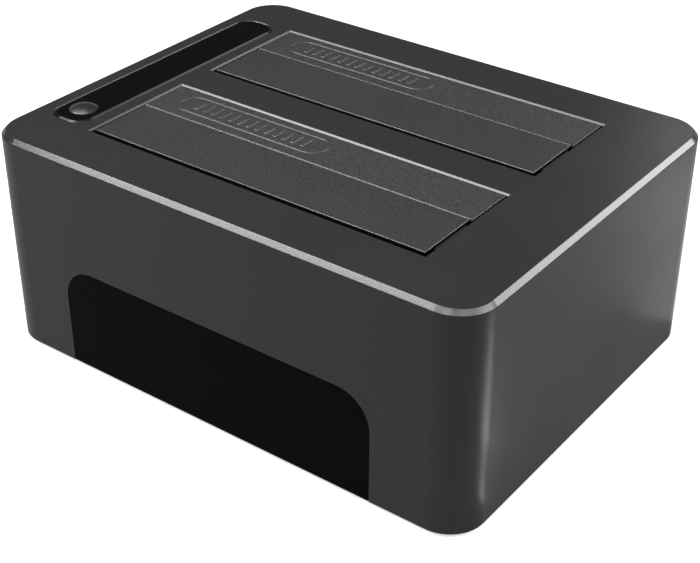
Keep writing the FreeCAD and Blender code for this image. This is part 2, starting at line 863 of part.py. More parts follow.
def make_liner(bay):
    body = new_body(bay.name + "_bay_liner")
    add_box(body, bay.name + "_liner_block",
            (opening_left - size.liner_wall, bay.liner_front - size.liner_wall, liner_bottom),
            (opening_right + size.liner_wall, bay.liner_rear + size.liner_wall, liner_top))
    add_box(body, bay.name + "_liner_room", (opening_left, bay.liner_front, bay_floor),
            (opening_right, bay.liner_rear, liner_top + past), cut=True)
    add_box(body, bay.name + "_connector_window",
            (bay.connector_x - size.connector_base_length / 2 - size.connector_slot_gap,
             bay.connector_y - size.connector_base_depth / 2 - size.connector_slot_gap,
             liner_bottom - past),
            (bay.connector_x + size.connector_base_length / 2 + size.connector_slot_gap,
             bay.connector_y + size.connector_base_depth / 2 + size.connector_slot_gap,
             bay_floor + past), cut=True)
    add_rod(body, bay.name + "_rod_hole", "X",
            (opening_left - size.liner_wall - past, bay.hinge_y, hinge_height),
            size.rod_radius + size.rod_running_gap,
            size.opening_width + size.liner_wall * 2 + past * 2, cut=True)
    first_x = opening_centre - size.guide_rib_pitch * (size.guide_rib_count - 1) / 2
    rib = add_box(body, bay.name + "_guide_rib",
                  (first_x - size.guide_rib_width / 2, bay.liner_front - weld, bay_floor - weld),
                  (first_x + size.guide_rib_width / 2, bay.stop_y,
                   bay_floor + size.guide_rib_height))
    repeat(body, rib, "X_Axis", size.guide_rib_pitch, size.guide_rib_count)
    rib_front = bay.front + size.side_rib_from_front
    rib_rear = rib_front + size.side_rib_length
    rib_left = opening_right - size.side_rib_proud
    rib_top = liner_top - size.side_rib_drop
    add_box(body, bay.name + "_side_rib", (rib_left, rib_front, bay_floor - weld),
            (opening_right + weld, rib_rear, rib_top))
    # The rib's tip stands up between the door leaf and the edge of the opening
    add_box(body, bay.name + "_side_rib_tip", (rib_left, rib_front, rib_top - weld),
            (opening_right - size.side_rib_wall_gap, rib_rear, top - size.side_rib_tip_drop))
    for index, (place_x, place_y) in enumerate(bay.ear_places):
        root = bay.ear_root - weld * bay.side
        tip = bay.ear_tip
        low_y, high_y = (tip, root) if bay.side < 0 else (root, tip)
        add_box(body, bay.name + "_ear_" + str(index),
                (place_x - size.ear_width / 2, low_y, ear_bottom),
                (place_x + size.ear_width / 2, high_y, ear_top))
        add_rod(body, bay.name + "_ear_hole_" + str(index), "Z",
                (place_x, place_y, ear_bottom - past), ear_clear_radius,
                size.ear_thickness + past * 2, cut=True)


# Drive doors: one spring-loaded flap over each bay, hinged along its rear edge

def make_door(bay):
    body = new_body(bay.name + "_bay_door")
    strip_left = opening_left + size.door_left_gap
    strip_right = opening_right - size.door_right_gap
    rear = bay.rear - size.door_rear_gap
    front = bay.front + size.door_front_gap
    crease = bay.front + size.leaf_depth
    face = top - size.door_drop
    lip_top = under_top - size.lip_gap
    leaf_face = face - size.leaf_step_height
    front_face = leaf_face - size.leaf_fall
    profile = polygon_sketch(body, bay.name + "_door_profile", "YZ_Plane", strip_left, [
        (rear, face),
        (crease, face),
        (crease, leaf_face),
        (front, front_face),
        (front, lip_top),
        (bay.front - size.lip_reach, lip_top),
        (bay.front - size.lip_reach, lip_top - size.lip_thickness),
        (front + size.lip_width, lip_top - size.lip_thickness),
        (front + size.lip_width, front_face - size.door_thickness),
        (crease, face - size.door_thickness),
        (rear, face - size.door_thickness),
    ])
    pad(body, profile, strip_right - strip_left)
    add_rod(body, bay.name + "_door_barrel", "X", (strip_left, bay.hinge_y, hinge_height),
            size.barrel_radius, strip_right - strip_left)
    # The front leaf stops short of the guide rib beside its right end
    leaf_low_z = lip_top - size.lip_thickness - past
    add_box(body, bay.name + "_leaf_right_cut",
            (opening_right - size.leaf_right_gap, bay.front - size.lip_reach - past, leaf_low_z),
            (opening_right, crease, top), cut=True)
    spring_left = opening_left + size.spring_from_left
    add_box(body, bay.name + "_spring_gap",
            (spring_left, bay.hinge_y - size.barrel_radius - past,
             hinge_height - size.barrel_radius - past),
            (spring_left + size.spring_room, bay.hinge_y + size.barrel_radius + past,
             face - size.door_thickness), cut=True)
    add_rod(body, bay.name + "_door_bore", "X", (strip_left - past, bay.hinge_y, hinge_height),
            size.rod_radius + size.rod_running_gap, strip_right - strip_left + past * 2, cut=True)
    frame_left = opening_left + size.frame_from_left
    frame_centre_y = bay.rear - size.frame_from_rear
    low = (frame_left, frame_centre_y - size.frame_height / 2)
    high = (frame_left + size.frame_length, frame_centre_y + size.frame_height / 2)
    ring = rounded_sketch(body, bay.name + "_door_frame", "XY_Plane", face, low, high,
                          size.frame_radius)
    rounded_outline(ring, (low[0] + size.frame_line, low[1] + size.frame_line),
                    (high[0] - size.frame_line, high[1] - size.frame_line),
                    size.frame_radius - size.frame_line)
    pad(body, ring, size.frame_rise)
    first_x = (frame_left + size.frame_length / 2
               - size.grip_rib_pitch * (size.grip_rib_count - 1) / 2)
    rib = add_box(body, bay.name + "_grip_rib",
                  (first_x - size.grip_rib_width / 2,
                   frame_centre_y - size.grip_rib_length / 2, face - weld),
                  (first_x + size.grip_rib_width / 2,
                   frame_centre_y + size.grip_rib_length / 2, face + size.frame_rise))
    repeat(body, rib, "X_Axis", size.grip_rib_pitch, size.grip_rib_count)


def make_hinge_rod(bay):
    start = opening_left - size.liner_wall + size.rod_end_inset
    rod = plain_rod(bay.name + "_door_hinge_rod", "X", (start, bay.hinge_y, hinge_height),
                    size.rod_radius, size.opening_width + size.liner_wall * 2 - size.rod_end_inset * 2)
    single_node(rod, bay.name + "_door_hinge_rod")


# Torsion spring round the hinge rod: a wound sleeve, one leg under the door
# and one leg down the rear wall of the liner
def make_door_spring(bay):
    label = bay.name + "_door_spring"
    start = opening_left + size.spring_from_left + size.spring_end_gap
    length = size.spring_room - size.spring_end_gap * 2
    outer = size.spring_inner_radius + size.spring_wire
    sleeve = cut_from(label + "_sleeve",
                      plain_rod(label + "_outer", "X", (start, bay.hinge_y, hinge_height),
                                outer, length),
                      plain_rod(label + "_inner", "X", (start - past, bay.hinge_y, hinge_height),
                                size.spring_inner_radius, length + past * 2))
    middle = size.spring_inner_radius + size.spring_wire / 2
    upper_leg = plain_rod(label + "_upper_leg", "Y",
                          (start + size.spring_leg_inset, bay.hinge_y - size.spring_leg,
                           hinge_height + middle),
                          size.spring_leg_radius, size.spring_leg)
    lower_leg = plain_rod(label + "_lower_leg", "Z",
                          (start + length - size.spring_leg_inset, bay.hinge_y + middle,
                           hinge_height - size.spring_leg),
                          size.spring_leg_radius, size.spring_leg)
    single_node(joined(label, [sleeve, upper_leg, lower_leg]), label)


# Drive connectors: a tall block with a signal slot and a power slot

def connector_slots(bay):
    whole = size.signal_slot_length + size.mating_slot_spacing + size.power_slot_length
    signal_left = bay.connector_x - whole / 2
    power_left = signal_left + size.signal_slot_length + size.mating_slot_spacing
    return ((signal_left, size.signal_slot_length, sizes["signal_contact_count"]),
            (power_left, size.power_slot_length, sizes["power_contact_count"]))


def make_connector(bay):
    body = new_body(bay.name + "_drive_connector")
    add_box(body, bay.name + "_connector_base",
            (bay.connector_x - size.connector_base_length / 2,
             bay.connector_y - size.connector_base_depth / 2, board_top),
            (bay.connector_x + size.connector_base_length / 2,
             bay.connector_y + size.connector_base_depth / 2, bay_floor))
    tip = bay_floor + size.connector_proud
    add_box(body, bay.name + "_connector_head",
            (bay.connector_x - size.connector_length / 2,
             bay.connector_y - size.connector_depth / 2, bay_floor - weld),
            (bay.connector_x + size.connector_length / 2,
             bay.connector_y + size.connector_depth / 2, tip))
    for index, (left, length, contacts) in enumerate(connector_slots(bay)):
        add_box(body, bay.name + "_mating_slot_" + str(index),
                (left, bay.connector_y - size.mating_slot_width / 2, tip - size.mating_slot_depth),
                (left + length, bay.connector_y + size.mating_slot_width / 2, tip + past), cut=True)
    contact_bars = []
    for index, (left, length, contacts) in enumerate(connector_slots(bay)):
        row_start = left + (length - size.contact_pitch * (contacts - 1)) / 2
        for step in range(contacts):
            middle = row_start + size.contact_pitch * step
            bar = plain_box(bay.name + "_contact_" + str(index) + "_" + str(step),
                            (middle - size.contact_width / 2,
                             bay.connector_y - size.mating_slot_width / 2,
                             tip - size.mating_slot_depth),
                            (middle + size.contact_width / 2,
                             bay.connector_y - size.mating_slot_width / 2 + size.contact_thickness,
                             tip - size.mating_slot_depth + size.contact_height))
            contact_bars.append(bar)
    group_node(bay.name + "_drive_contacts", contact_bars)


# Front panel, flush in its recess

def make_front_panel():
    body = new_body("front_panel")
    outline = rounded_sketch(body, "front_panel_outline", "XZ_Plane", half_depth,
                             (panel_left, -size.panel_radius),
                             (panel_right, size.foot_proud + size.panel_height),
                             size.panel_radius)
    pad(body, outline, size.panel_thickness, reverse=True)
    add_box(body, "front_panel_foot_cut",
            (panel_left - past, -half_depth - past, -size.panel_radius - past),
            (panel_right + past, -half_depth + size.panel_thickness + past, size.foot_proud), cut=True)


# Indicator strip, light guide, lights and their board

def make_indicator_strip():
    body = new_body("indicator_panel")
    outline = rounded_sketch(body, "indicator_outline", "XY_Plane", strip_floor,
                             (strip_x - size.strip_width / 2, -size.strip_length / 2),
                             (strip_x + size.strip_width / 2, size.strip_length / 2),
                             size.strip_radius)
    pad(body, outline, size.strip_thickness)
    strip_top = strip_floor + size.strip_thickness
    dress(body, "Chamfer", "indicator_bevel", lambda box: flat_at(box, strip_top),
          "Size", size.strip_chamfer)
    add_rod(body, "indicator_button_hole", "Z",
            (strip_x, button_y, strip_floor - past),
            size.button_radius + size.button_hole_gap, size.strip_thickness + past * 2, cut=True)

    guide = new_body("light_guide")
    add_box(guide, "guide_bar",
            (guide_bar_x - size.guide_bar_width / 2,
             size.guide_bar_centre_y - size.guide_bar_length / 2, under_top),
            (guide_bar_x + size.guide_bar_width / 2,
             size.guide_bar_centre_y + size.guide_bar_length / 2, strip_floor))
    light_top = indicator_board_top + size.light_height
    first_y = size.guide_bar_centre_y - size.guide_post_pitch * (size.guide_post_count - 1) / 2
    post_bottom = light_top + size.light_gap
    post = add_rod(guide, "guide_post", "Z", (guide_bar_x, first_y, post_bottom),
                   size.guide_post_radius, under_top - post_bottom + weld)
    repeat(guide, post, "Y_Axis", size.guide_post_pitch, size.guide_post_count)

    board = new_body("indicator_board")
    add_box(board, "indicator_board_plate",
            (strip_x - size.indicator_board_width / 2,
             -size.indicator_board_length / 2, indicator_board_bottom),
            (strip_x + size.indicator_board_width / 2,
             size.indicator_board_length / 2, indicator_board_top))
    for index, (place_x, place_y) in enumerate(indicator_post_places):
        add_rod(board, "indicator_board_hole_" + str(index), "Z",
                (place_x, place_y, indicator_board_bottom - past),
                size.small_screw_radius + size.screw_hole_gap / 2,
                size.indicator_board_thickness + past * 2, cut=True)

    lights = []
    for step in range(sizes["guide_post_count"]):
        middle_y = first_y + size.guide_post_pitch * step
        lights.append(plain_box("light_" + str(step),
                                (guide_bar_x - size.light_width / 2,
                                 middle_y - size.light_length / 2, indicator_board_top),
                                (guide_bar_x + size.light_width / 2,
                                 middle_y + size.light_length / 2, light_top)))
    group_node("indicator_lights", lights)


# Clone button: cap with a retaining flange and a stem, over a small push switch

def make_clone_button():
    strip_top = strip_floor + size.strip_thickness
    flange_top = strip_floor - size.button_flange_gap
    flange_bottom = flange_top - size.button_flange_thickness
    tact_top = indicator_board_top + size.tact_height
    plunger_top = tact_top + size.plunger_proud
    rim = strip_top + size.button_rim_proud
    radius = size.button_radius
    body = new_body("clone_button")
    # Half section of the cap, turned about its own upright axis
    section = new_sketch(body, "button_section", "XZ_Plane", -button_y)
    bind(section, "AttachmentOffset.Base.x", strip_x)
    stem = size.button_stem_radius
    flange = size.button_flange_radius
    crown = rim + size.button_dome
    places = [
        (zero, plunger_top),
        (stem, plunger_top),
        (stem, flange_bottom),
        (flange, flange_bottom),
        (flange, flange_top),
        (radius, flange_top),
        (radius, rim),
    ]
    points = [FreeCAD.Vector(across.number, up.number, 0) for across, up in places]
    for index in range(len(points) - 1):
        section.addGeometry(Part.LineSegment(points[index], points[index + 1]))
    sphere_radius = (radius * radius + size.button_dome * size.button_dome) / (size.button_dome * 2)
    crown_point = FreeCAD.Vector(0, crown.number, 0)
    mid_across = radius.number / 2
    mid_up = (crown.number - sphere_radius.number
              + (sphere_radius.number ** 2 - mid_across ** 2) ** 0.5)
    section.addGeometry(Part.Arc(points[-1], FreeCAD.Vector(mid_across, mid_up, 0), crown_point))
    section.addGeometry(Part.LineSegment(crown_point, points[0]))
    arc = len(points) - 1
    for index in range(arc - 1):
        section.addConstraint(Sketcher.Constraint("Coincident", index, 2, index + 1, 1))
    # The arc runs from the rim up to the crown
    section.addConstraint(Sketcher.Constraint("Coincident", arc - 1, 2, arc, 1))
    section.addConstraint(Sketcher.Constraint("Coincident", arc, 2, arc + 1, 1))
    section.addConstraint(Sketcher.Constraint("Coincident", arc + 1, 2, 0, 1))
    for index, place in enumerate(places[:-1]):
        pin_point(section, index, 1, place)
    pin_point(section, arc - 1, 2, places[-1])
    pin_point(section, arc + 1, 1, (zero, crown))
    index = section.addConstraint(Sketcher.Constraint("Radius", arc, sphere_radius.number))
    section.setExpression("Constraints[" + str(index) + "]", sphere_radius.words)
    turned = body.newObject("PartDesign::Revolution", "button_turned")
    turned.Profile = section
    turned.ReferenceAxis = (section, ["V_Axis"])
    turned.Angle = 360

    half = size.tact_width / 2
    case = new_body("clone_switch_case")
    add_box(case, "tact_block",
            (strip_x - half, button_y - half, indicator_board_top),
            (strip_x + half, button_y + half, tact_top))
    plunger_bottom = tact_top - size.plunger_depth
    well_bottom = plunger_bottom - size.plunger_room
    add_rod(case, "tact_well", "Z", (strip_x, button_y, well_bottom),
            size.plunger_radius + size.plunger_gap, tact_top - well_bottom + past, cut=True)
    plunger = plain_rod("clone_switch_plunger", "Z",
                        (strip_x, button_y, plunger_bottom),
                        size.plunger_radius, plunger_top - plunger_bottom)
    single_node(plunger, "clone_switch_plunger")


# Main board and what stands on it

def make_main_board():
    body = new_body("main_board")
    add_box(body, "board_plate",
            (board_left, -inner_y + size.board_front_room, board_bottom),
            (board_right, rear_inner_face - size.board_rear_gap, board_top))
    for index, (place_x, place_y) in enumerate(standoff_places):
        add_rod(body, "board_hole_" + str(index), "Z", (place_x, place_y, board_bottom - past),
                size.small_screw_radius + size.screw_hole_gap / 2,
                size.board_thickness + past * 2, cut=True)


def board_block(name, centre_x, centre_y, length, width, height):
    return plain_box(name, (centre_x - length / 2, centre_y - width / 2, board_top),
                     (centre_x + length / 2, centre_y + width / 2, board_top + height))


def make_board_components():
    row_y = size.chip_row_y
    single_node(board_block("bridge_chip", size.bridge_chip_x, row_y, size.bridge_chip_side,
                            size.bridge_chip_side, size.chip_height), "bridge_chip")
    single_node(board_block("clone_chip", size.clone_chip_x, row_y, size.clone_chip_side,
                            size.clone_chip_side, size.chip_height), "clone_chip")
    single_node(board_block("firmware_memory", size.memory_x, row_y, size.memory_length,
                            size.memory_width, size.memory_height), "firmware_memory")
    single_node(board_block("clock_crystal", size.crystal_x, row_y, size.crystal_length,
                            size.crystal_width, size.crystal_height), "clock_crystal")
    capacitors = []
    for step in range(3):
        place_x = board_left + size.capacitor_from_edge + size.capacitor_pitch * step
        capacitors.append(plain_rod("capacitor_" + str(step), "Z",
                                    (place_x, size.capacitor_y, board_top),
                                    size.capacitor_radius, size.capacitor_height))
    group_node("capacitors", capacitors)
    coils = []
    for step in range(3):
        place_x = board_left + size.coil_from_edge + size.coil_pitch * step
        coils.append(board_block("coil_" + str(step), place_x, size.power_row_y, size.coil_side,
                                 size.coil_side, size.coil_height))
    group_node("power_coils", coils)
    regulators = []
    for step in range(2):
        place_x = board_right - size.regulator_from_edge + size.regulator_pitch * step
        regulators.append(board_block("regulator_" + str(step), place_x, size.power_row_y,
                                      size.regulator_length, size.regulator_width,
                                      size.regulator_height))
    group_node("voltage_regulators", regulators)


# Rear ports

class Port:
    def __init__(self, name, centre_x, width, bottom, height):
        self.name = name
        self.centre_x = centre_x
        self.left = centre_x - width / 2
        self.right = centre_x + width / 2
        self.bottom = bottom
        self.top = bottom + height


usb = Port("usb", size.usb_x, size.usb_width, board_top, size.usb_height)
jack = Port("jack", size.jack_x, size.jack_width, board_top, size.jack_height)
switch = Port("switch", size.switch_x, size.switch_length,
              board_top + size.switch_above_board - size.switch_height / 2, size.switch_height)
ports = [usb, jack, switch]
port_face = recess_face - size.boss_gap


def make_usb_port():
    shell = new_body("usb_port_shell")
    back = port_face - size.usb_depth
    add_box(shell, "usb_shell_block", (usb.left, back, usb.bottom), (usb.right, port_face, usb.top))
    add_box(shell, "usb_shell_room",
            (usb.left + size.usb_sheet, back + size.usb_sheet, usb.bottom + size.usb_sheet),
            (usb.right - size.usb_sheet, port_face + past, usb.top - size.usb_sheet), cut=True)
    # Insulator with the wide lower tongue and the narrow upper one
    insert = new_body("usb_port_insert")
    room_left = usb.left + size.usb_sheet
    room_right = usb.right - size.usb_sheet
    room_bottom = usb.bottom + size.usb_sheet
    room_top = usb.top - size.usb_sheet
    block_front = back + size.usb_sheet + size.usb_block_depth
    add_box(insert, "usb_insert_block", (room_left, back + size.usb_sheet, room_bottom),
            (room_right, block_front, room_top))
    tongue_front = port_face - size.usb_tongue_inset
    lower_bottom = room_bottom + size.usb_tongue_bottom
    lower_top = lower_bottom + size.usb_tongue_thickness
    upper_bottom = room_bottom + size.usb_upper_bottom
    upper_top = upper_bottom + size.usb_upper_thickness
    add_box(insert, "usb_lower_tongue",
            (usb.centre_x - size.usb_tongue_width / 2, block_front - weld, lower_bottom),
            (usb.centre_x + size.usb_tongue_width / 2, tongue_front, lower_top))
    add_box(insert, "usb_upper_tongue",
            (usb.centre_x - size.usb_upper_width / 2, block_front - weld, upper_bottom),
            (usb.centre_x + size.usb_upper_width / 2, tongue_front, upper_top))
    contacts = []
    contact_front = tongue_front - size.usb_contact_inset
    levels = (lower_top, lower_bottom - size.usb_contact_thickness)
    for level_index, low_z in enumerate(levels):
        for side in (-0.5, 0.5):
            middle = usb.centre_x + size.usb_contact_pitch * side
            contacts.append(plain_box(
                "usb_contact_" + str(level_index) + "_" + str(int(side + 0.5)),
                (middle - size.usb_contact_width / 2, block_front, low_z),
                (middle + size.usb_contact_width / 2, contact_front,
                 low_z + size.usb_contact_thickness)))
    for step in range(-2, 3):
        middle = usb.centre_x + size.usb_fast_pitch * step
        contacts.append(plain_box("usb_fast_contact_" + str(step + 2),
                                  (middle - size.usb_fast_width / 2, block_front, upper_top),
                                  (middle + size.usb_fast_width / 2, contact_front,
                                   upper_top + size.usb_fast_thickness)))
    group_node("usb_port_contacts", contacts)


def make_power_jack():
    body = new_body("power_jack_body")
    back = port_face - size.jack_depth
    add_box(body, "jack_block", (jack.left, back, jack.bottom), (jack.right, port_face, jack.top))
    centre_z = jack.top - size.jack_width / 2
    bore_back = port_face - size.jack_bore_depth
    add_rod(body, "jack_bore", "Y", (jack.centre_x, bore_back, centre_z),
            size.jack_bore_radius, size.jack_bore_depth + past, cut=True)
    pin = plain_rod("power_jack_pin", "Y", (jack.centre_x, bore_back, centre_z),
                    size.jack_pin_radius, size.jack_bore_depth - size.jack_pin_inset)
    single_node(pin, "power_jack_pin")


# Power switch: a snap-in case, a rocker on two side pins, and terminals to the board

rocker_y = recess_face + size.switch_bezel_thickness - size.rocker_pivot_inset
switch_z = board_top + size.switch_above_board


def make_power_switch():
    case = new_body("power_switch_case")
    back = recess_face - size.switch_depth
    add_box(case, "switch_block", (switch.left, back, switch.bottom),
            (switch.right, recess_face + weld, switch.top))
    add_box(case, "switch_bezel",
            (switch.centre_x - size.switch_bezel_length / 2, recess_face,
             switch_z - size.switch_bezel_height / 2),
            (switch.centre_x + size.switch_bezel_length / 2,
             recess_face + size.switch_bezel_thickness,
             switch_z + size.switch_bezel_height / 2))
    room_half_x = size.switch_length / 2 - size.switch_case_wall
    room_half_z = size.switch_height / 2 - size.switch_case_wall
    add_box(case, "switch_room",
            (switch.centre_x - room_half_x, rocker_y - size.rocker_half_length, switch_z - room_half_z),
            (switch.centre_x + room_half_x, half_depth + past, switch_z + room_half_z), cut=True)
    pin_half = room_half_z - size.rocker_side_gap + size.rocker_pin_length
    add_rod(case, "switch_pin_bore", "Z",
            (switch.centre_x, rocker_y, switch_z - pin_half - size.rod_running_gap),
            size.rocker_pin_radius + size.rod_running_gap,
            (pin_half + size.rod_running_gap) * 2, cut=True)

    # The rocker is drawn level and stored with its off side pressed in
    rocker = new_body("power_rocker")
    half_z = room_half_z - size.rocker_side_gap
    length = size.rocker_half_length
    profile = polygon_sketch(rocker, "rocker_profile", "XY_Plane", -half_z, [
        (-length, size.rocker_rise),
        (-length, size.rocker_heel),
        (-size.rocker_base, -size.rocker_dip),
        (size.rocker_base, -size.rocker_dip),
        (length, size.rocker_heel),
        (length, size.rocker_rise),
        (zero, size.rocker_dip),
    ])
    pad(rocker, profile, half_z * 2)
    add_rod(rocker, "rocker_pins", "Z", (zero, zero, -pin_half), size.rocker_pin_radius, pin_half * 2)
    rocker.Placement = FreeCAD.Placement(
        FreeCAD.Vector(), FreeCAD.Rotation(FreeCAD.Vector(0, 0, 1), -sizes["rocker_tilt"]))
    bind_place(rocker, "Placement", (switch.centre_x, rocker_y, switch_z))

    terminals = []
    for step in (-1, 0, 1):
        middle = switch.centre_x + size.terminal_pitch * step
        low_x = middle - size.terminal_width / 2
        high_x = middle + size.terminal_width / 2
        bend_y = back - size.terminal_reach
        arm = plain_box("terminal_arm_" + str(step + 1),
                        (low_x, bend_y, switch_z - size.terminal_thickness / 2),
                        (high_x, back, switch_z + size.terminal_thickness / 2))
        leg = plain_box("terminal_leg_" + str(step + 1),
                        (low_x, bend_y, board_top),
                        (high_x, bend_y + size.terminal_thickness, switch_z))
        terminals.append(joined("terminal_" + str(step + 1), [arm, leg]))
    group_node("power_switch_terminals", terminals)


# Ribbon from the indicator board down to the main board, with its two headers

def make_ribbon():
    half_length = size.header_length / 2
    upper_bottom = indicator_board_bottom - size.header_height
    ribbon_x = strip_x
    single_node(plain_box("indicator_header",
                          (ribbon_x - size.header_width / 2, -half_length, upper_bottom),
                          (ribbon_x + size.header_width / 2, half_length, indicator_board_bottom)),
                "indicator_header")
    header_left = board_left + size.header_inset
    single_node(plain_box("main_board_header",
                          (header_left, -half_length, board_top),
                          (header_left + size.header_width, half_length,
                           board_top + size.header_height)),
                "main_board_header")
    body = new_body("indicator_ribbon")
    half = size.ribbon_thickness / 2
    bend = size.ribbon_bend
    low_z = board_top + size.header_height / 2
    profile = new_sketch(body, "ribbon_profile", "XZ_Plane", -size.ribbon_width / 2)
    outer_x = ribbon_x - half
    inner_x_edge = ribbon_x + half
    lower = low_z - half
    upper = low_z + half
    corner_x = outer_x + bend + size.ribbon_thickness
    corner_z = lower + bend + size.ribbon_thickness
    places = [
        (outer_x, upper_bottom), (outer_x, corner_z), (corner_x, lower), (header_left, lower),
        (header_left, upper), (corner_x, upper), (inner_x_edge, corner_z), (inner_x_edge, upper_bottom),
    ]
    points = [FreeCAD.Vector(across.number, up.number, 0) for across, up in places]
    centre = FreeCAD.Vector(corner_x.number, corner_z.number, 0)
    normal = FreeCAD.Vector(0, 0, 1)
    outer_radius = bend + size.ribbon_thickness
    outer_circle = Part.Circle(centre, normal, outer_radius.number)
    inner_circle = Part.Circle(centre, normal, bend.number)
    profile.addGeometry(Part.LineSegment(points[0], points[1]))
    profile.addGeometry(Part.ArcOfCircle(outer_circle, angle_of(180), angle_of(270)))
    profile.addGeometry(Part.LineSegment(points[2], points[3]))
    profile.addGeometry(Part.LineSegment(points[3], points[4]))
    profile.addGeometry(Part.LineSegment(points[4], points[5]))
    profile.addGeometry(Part.ArcOfCircle(inner_circle, angle_of(180), angle_of(270)))
    profile.addGeometry(Part.LineSegment(points[6], points[7]))
    profile.addGeometry(Part.LineSegment(points[7], points[0]))
    meetings = (
        ("Tangent", 0, 2, 1, 1), ("Coincident", 1, 2, 2, 1), ("Coincident", 2, 2, 3, 1),
        ("Coincident", 3, 2, 4, 1), ("Tangent", 4, 2, 5, 2), ("Coincident", 5, 1, 6, 1),
        ("Coincident", 6, 2, 7, 1), ("Coincident", 7, 2, 0, 1),
    )
    for kind, first, first_end, second, second_end in meetings:
        profile.addConstraint(Sketcher.Constraint(kind, first, first_end, second, second_end))
    for index, point, place in ((0, 1, 0), (0, 2, 1), (2, 1, 2), (2, 2, 3), (4, 1, 4), (4, 2, 5),
                                (6, 1, 6), (6, 2, 7)):
        pin_point(profile, index, point, places[place])
    pad(body, profile, size.ribbon_width)


# Feet and fasteners

def make_feet():
    group_node("rubber_feet", [
        plain_rod("rubber_foot_" + str(index), "Z", (place_x, place_y, zero),
                  size.foot_radius, size.foot_thickness)
        for index, (place_x, place_y) in enumerate(foot_places)])


def make_screws():
    seat = size.foot_proud + size.screw_head_height
    group_node("case_screws", [
        screw("case_screw_" + str(index), (place_x, place_y, seat), size.screw_radius,
              size.screw_head_radius, size.screw_head_height, size.screw_length)
        for index, (place_x, place_y) in enumerate(case_screw_places)])
    group_node("board_screws", [
        screw_down("board_screw_" + str(index), (place_x, place_y, board_top),
                   size.small_screw_radius, size.small_head_radius, size.small_head_height,
                   size.small_screw_length)
        for index, (place_x, place_y) in enumerate(standoff_places)])
    liner_screws = []
    for bay in bays:
        for index, (place_x, place_y) in enumerate(bay.ear_places):
            liner_screws.append(screw(bay.name + "_liner_screw_" + str(index),
                                      (place_x, place_y, ear_bottom),
                                      size.small_screw_radius, size.small_head_radius,
                                      size.small_head_height,
                                      size.ear_thickness + size.ear_drop - size.pilot_extra))
    group_node("liner_screws", liner_screws)
    group_node("indicator_board_screws", [
        screw("indicator_screw_" + str(index), (place_x, place_y, indicator_board_bottom),
              size.small_screw_radius, size.small_head_radius, size.small_head_height,
              size.small_screw_length)
        for index, (place_x, place_y) in enumerate(indicator_post_places)])


make_upper_housing()
make_base_plate()
make_front_panel()
make_indicator_strip()
make_clone_button()
for bay in bays:
    make_liner(bay)
    make_door(bay)
    make_hinge_rod(bay)
    make_door_spring(bay)
    make_connector(bay)
make_main_board()
make_board_components()
make_usb_port()
make_power_jack()
make_power_switch()
make_ribbon()
make_feet()
make_screws()

doc.recompute()
for thing in doc.Objects:
    if "Invalid" in thing.State or "Error" in thing.State:
        raise RuntimeError("failed object " + thing.Name + " " + str(thing.State))
for node in nodes:
    if node.Shape.isNull() or not node.Shape.isValid():
        raise RuntimeError("bad shape " + node.Label)

os.makedirs("parts", exist_ok=True)
for node in nodes:
    node.Shape.exportStep(os.path.join("parts", node.Label + ".step"))
    box = node.Shape.BoundBox
    print(node.Label, len(node.Shape.Solids), "solids",
          [round(value, 2) for value in (box.XMin, box.YMin, box.ZMin, box.XMax, box.YMax, box.ZMax)])
print(len(nodes), "nodes")
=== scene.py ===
import math

import bmesh
import bpy
from mathutils import Matrix, Vector


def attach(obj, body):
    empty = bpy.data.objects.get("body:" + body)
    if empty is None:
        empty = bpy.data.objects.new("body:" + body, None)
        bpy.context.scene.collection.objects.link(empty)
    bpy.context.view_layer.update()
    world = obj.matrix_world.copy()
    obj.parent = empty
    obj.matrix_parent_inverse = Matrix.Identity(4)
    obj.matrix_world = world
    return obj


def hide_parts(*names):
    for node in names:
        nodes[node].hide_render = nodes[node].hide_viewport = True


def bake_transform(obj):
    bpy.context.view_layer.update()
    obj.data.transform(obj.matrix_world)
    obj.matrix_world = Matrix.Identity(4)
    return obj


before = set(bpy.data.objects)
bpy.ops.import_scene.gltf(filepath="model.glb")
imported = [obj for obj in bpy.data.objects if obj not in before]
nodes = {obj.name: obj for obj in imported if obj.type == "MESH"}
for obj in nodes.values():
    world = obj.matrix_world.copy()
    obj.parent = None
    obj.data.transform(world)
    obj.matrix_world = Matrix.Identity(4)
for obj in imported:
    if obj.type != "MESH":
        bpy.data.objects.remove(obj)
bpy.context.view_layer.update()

mm = 0.001
print("frame loaded:", len(nodes), "nodes")


# An sRGB colour in hex as linear red, green, blue and alpha
def toLinear(hexColour):
    channels = [int(hexColour[i:i + 2], 16) / 255 for i in (1, 3, 5)]
    linear = [c / 12.92 if c <= 0.04045 else ((c + 0.055) / 1.055) ** 2.4 for c in channels]
    return (*linear, 1.0)


def addNode(material, kind, settings=None, links=None):
    node = material.node_tree.nodes.new(kind)
    for name, value in (settings or {}).items():
        if isinstance(name, int) or name in node.inputs:
            node.inputs[name].default_value = value
        else:
            setattr(node, name, value)
    for name, source in (links or {}).items():
        material.node_tree.links.new(source, node.inputs[name])
    return node


def newMaterial(name):
    material = bpy.data.materials.new(name)
    material.use_nodes = True
    material.node_tree.nodes.clear()
    return material


def finishMaterial(material, shader):
    output = addNode(material, "ShaderNodeOutputMaterial")
    material.node_tree.links.new(shader.outputs[0], output.inputs["Surface"])
    return material


def wear(piece, material):
    piece.data.materials.clear()
    piece.data.materials.append(material)


# Sizes in mm. The noise's middle stretches are spread over the whole range of a finish
mould = {"cloud": 30.0, "grainSpan": (0.3, 0.7), "cloudSpan": (0.25, 0.75), "gapShade": 0.1,
         "ior": 1.53}


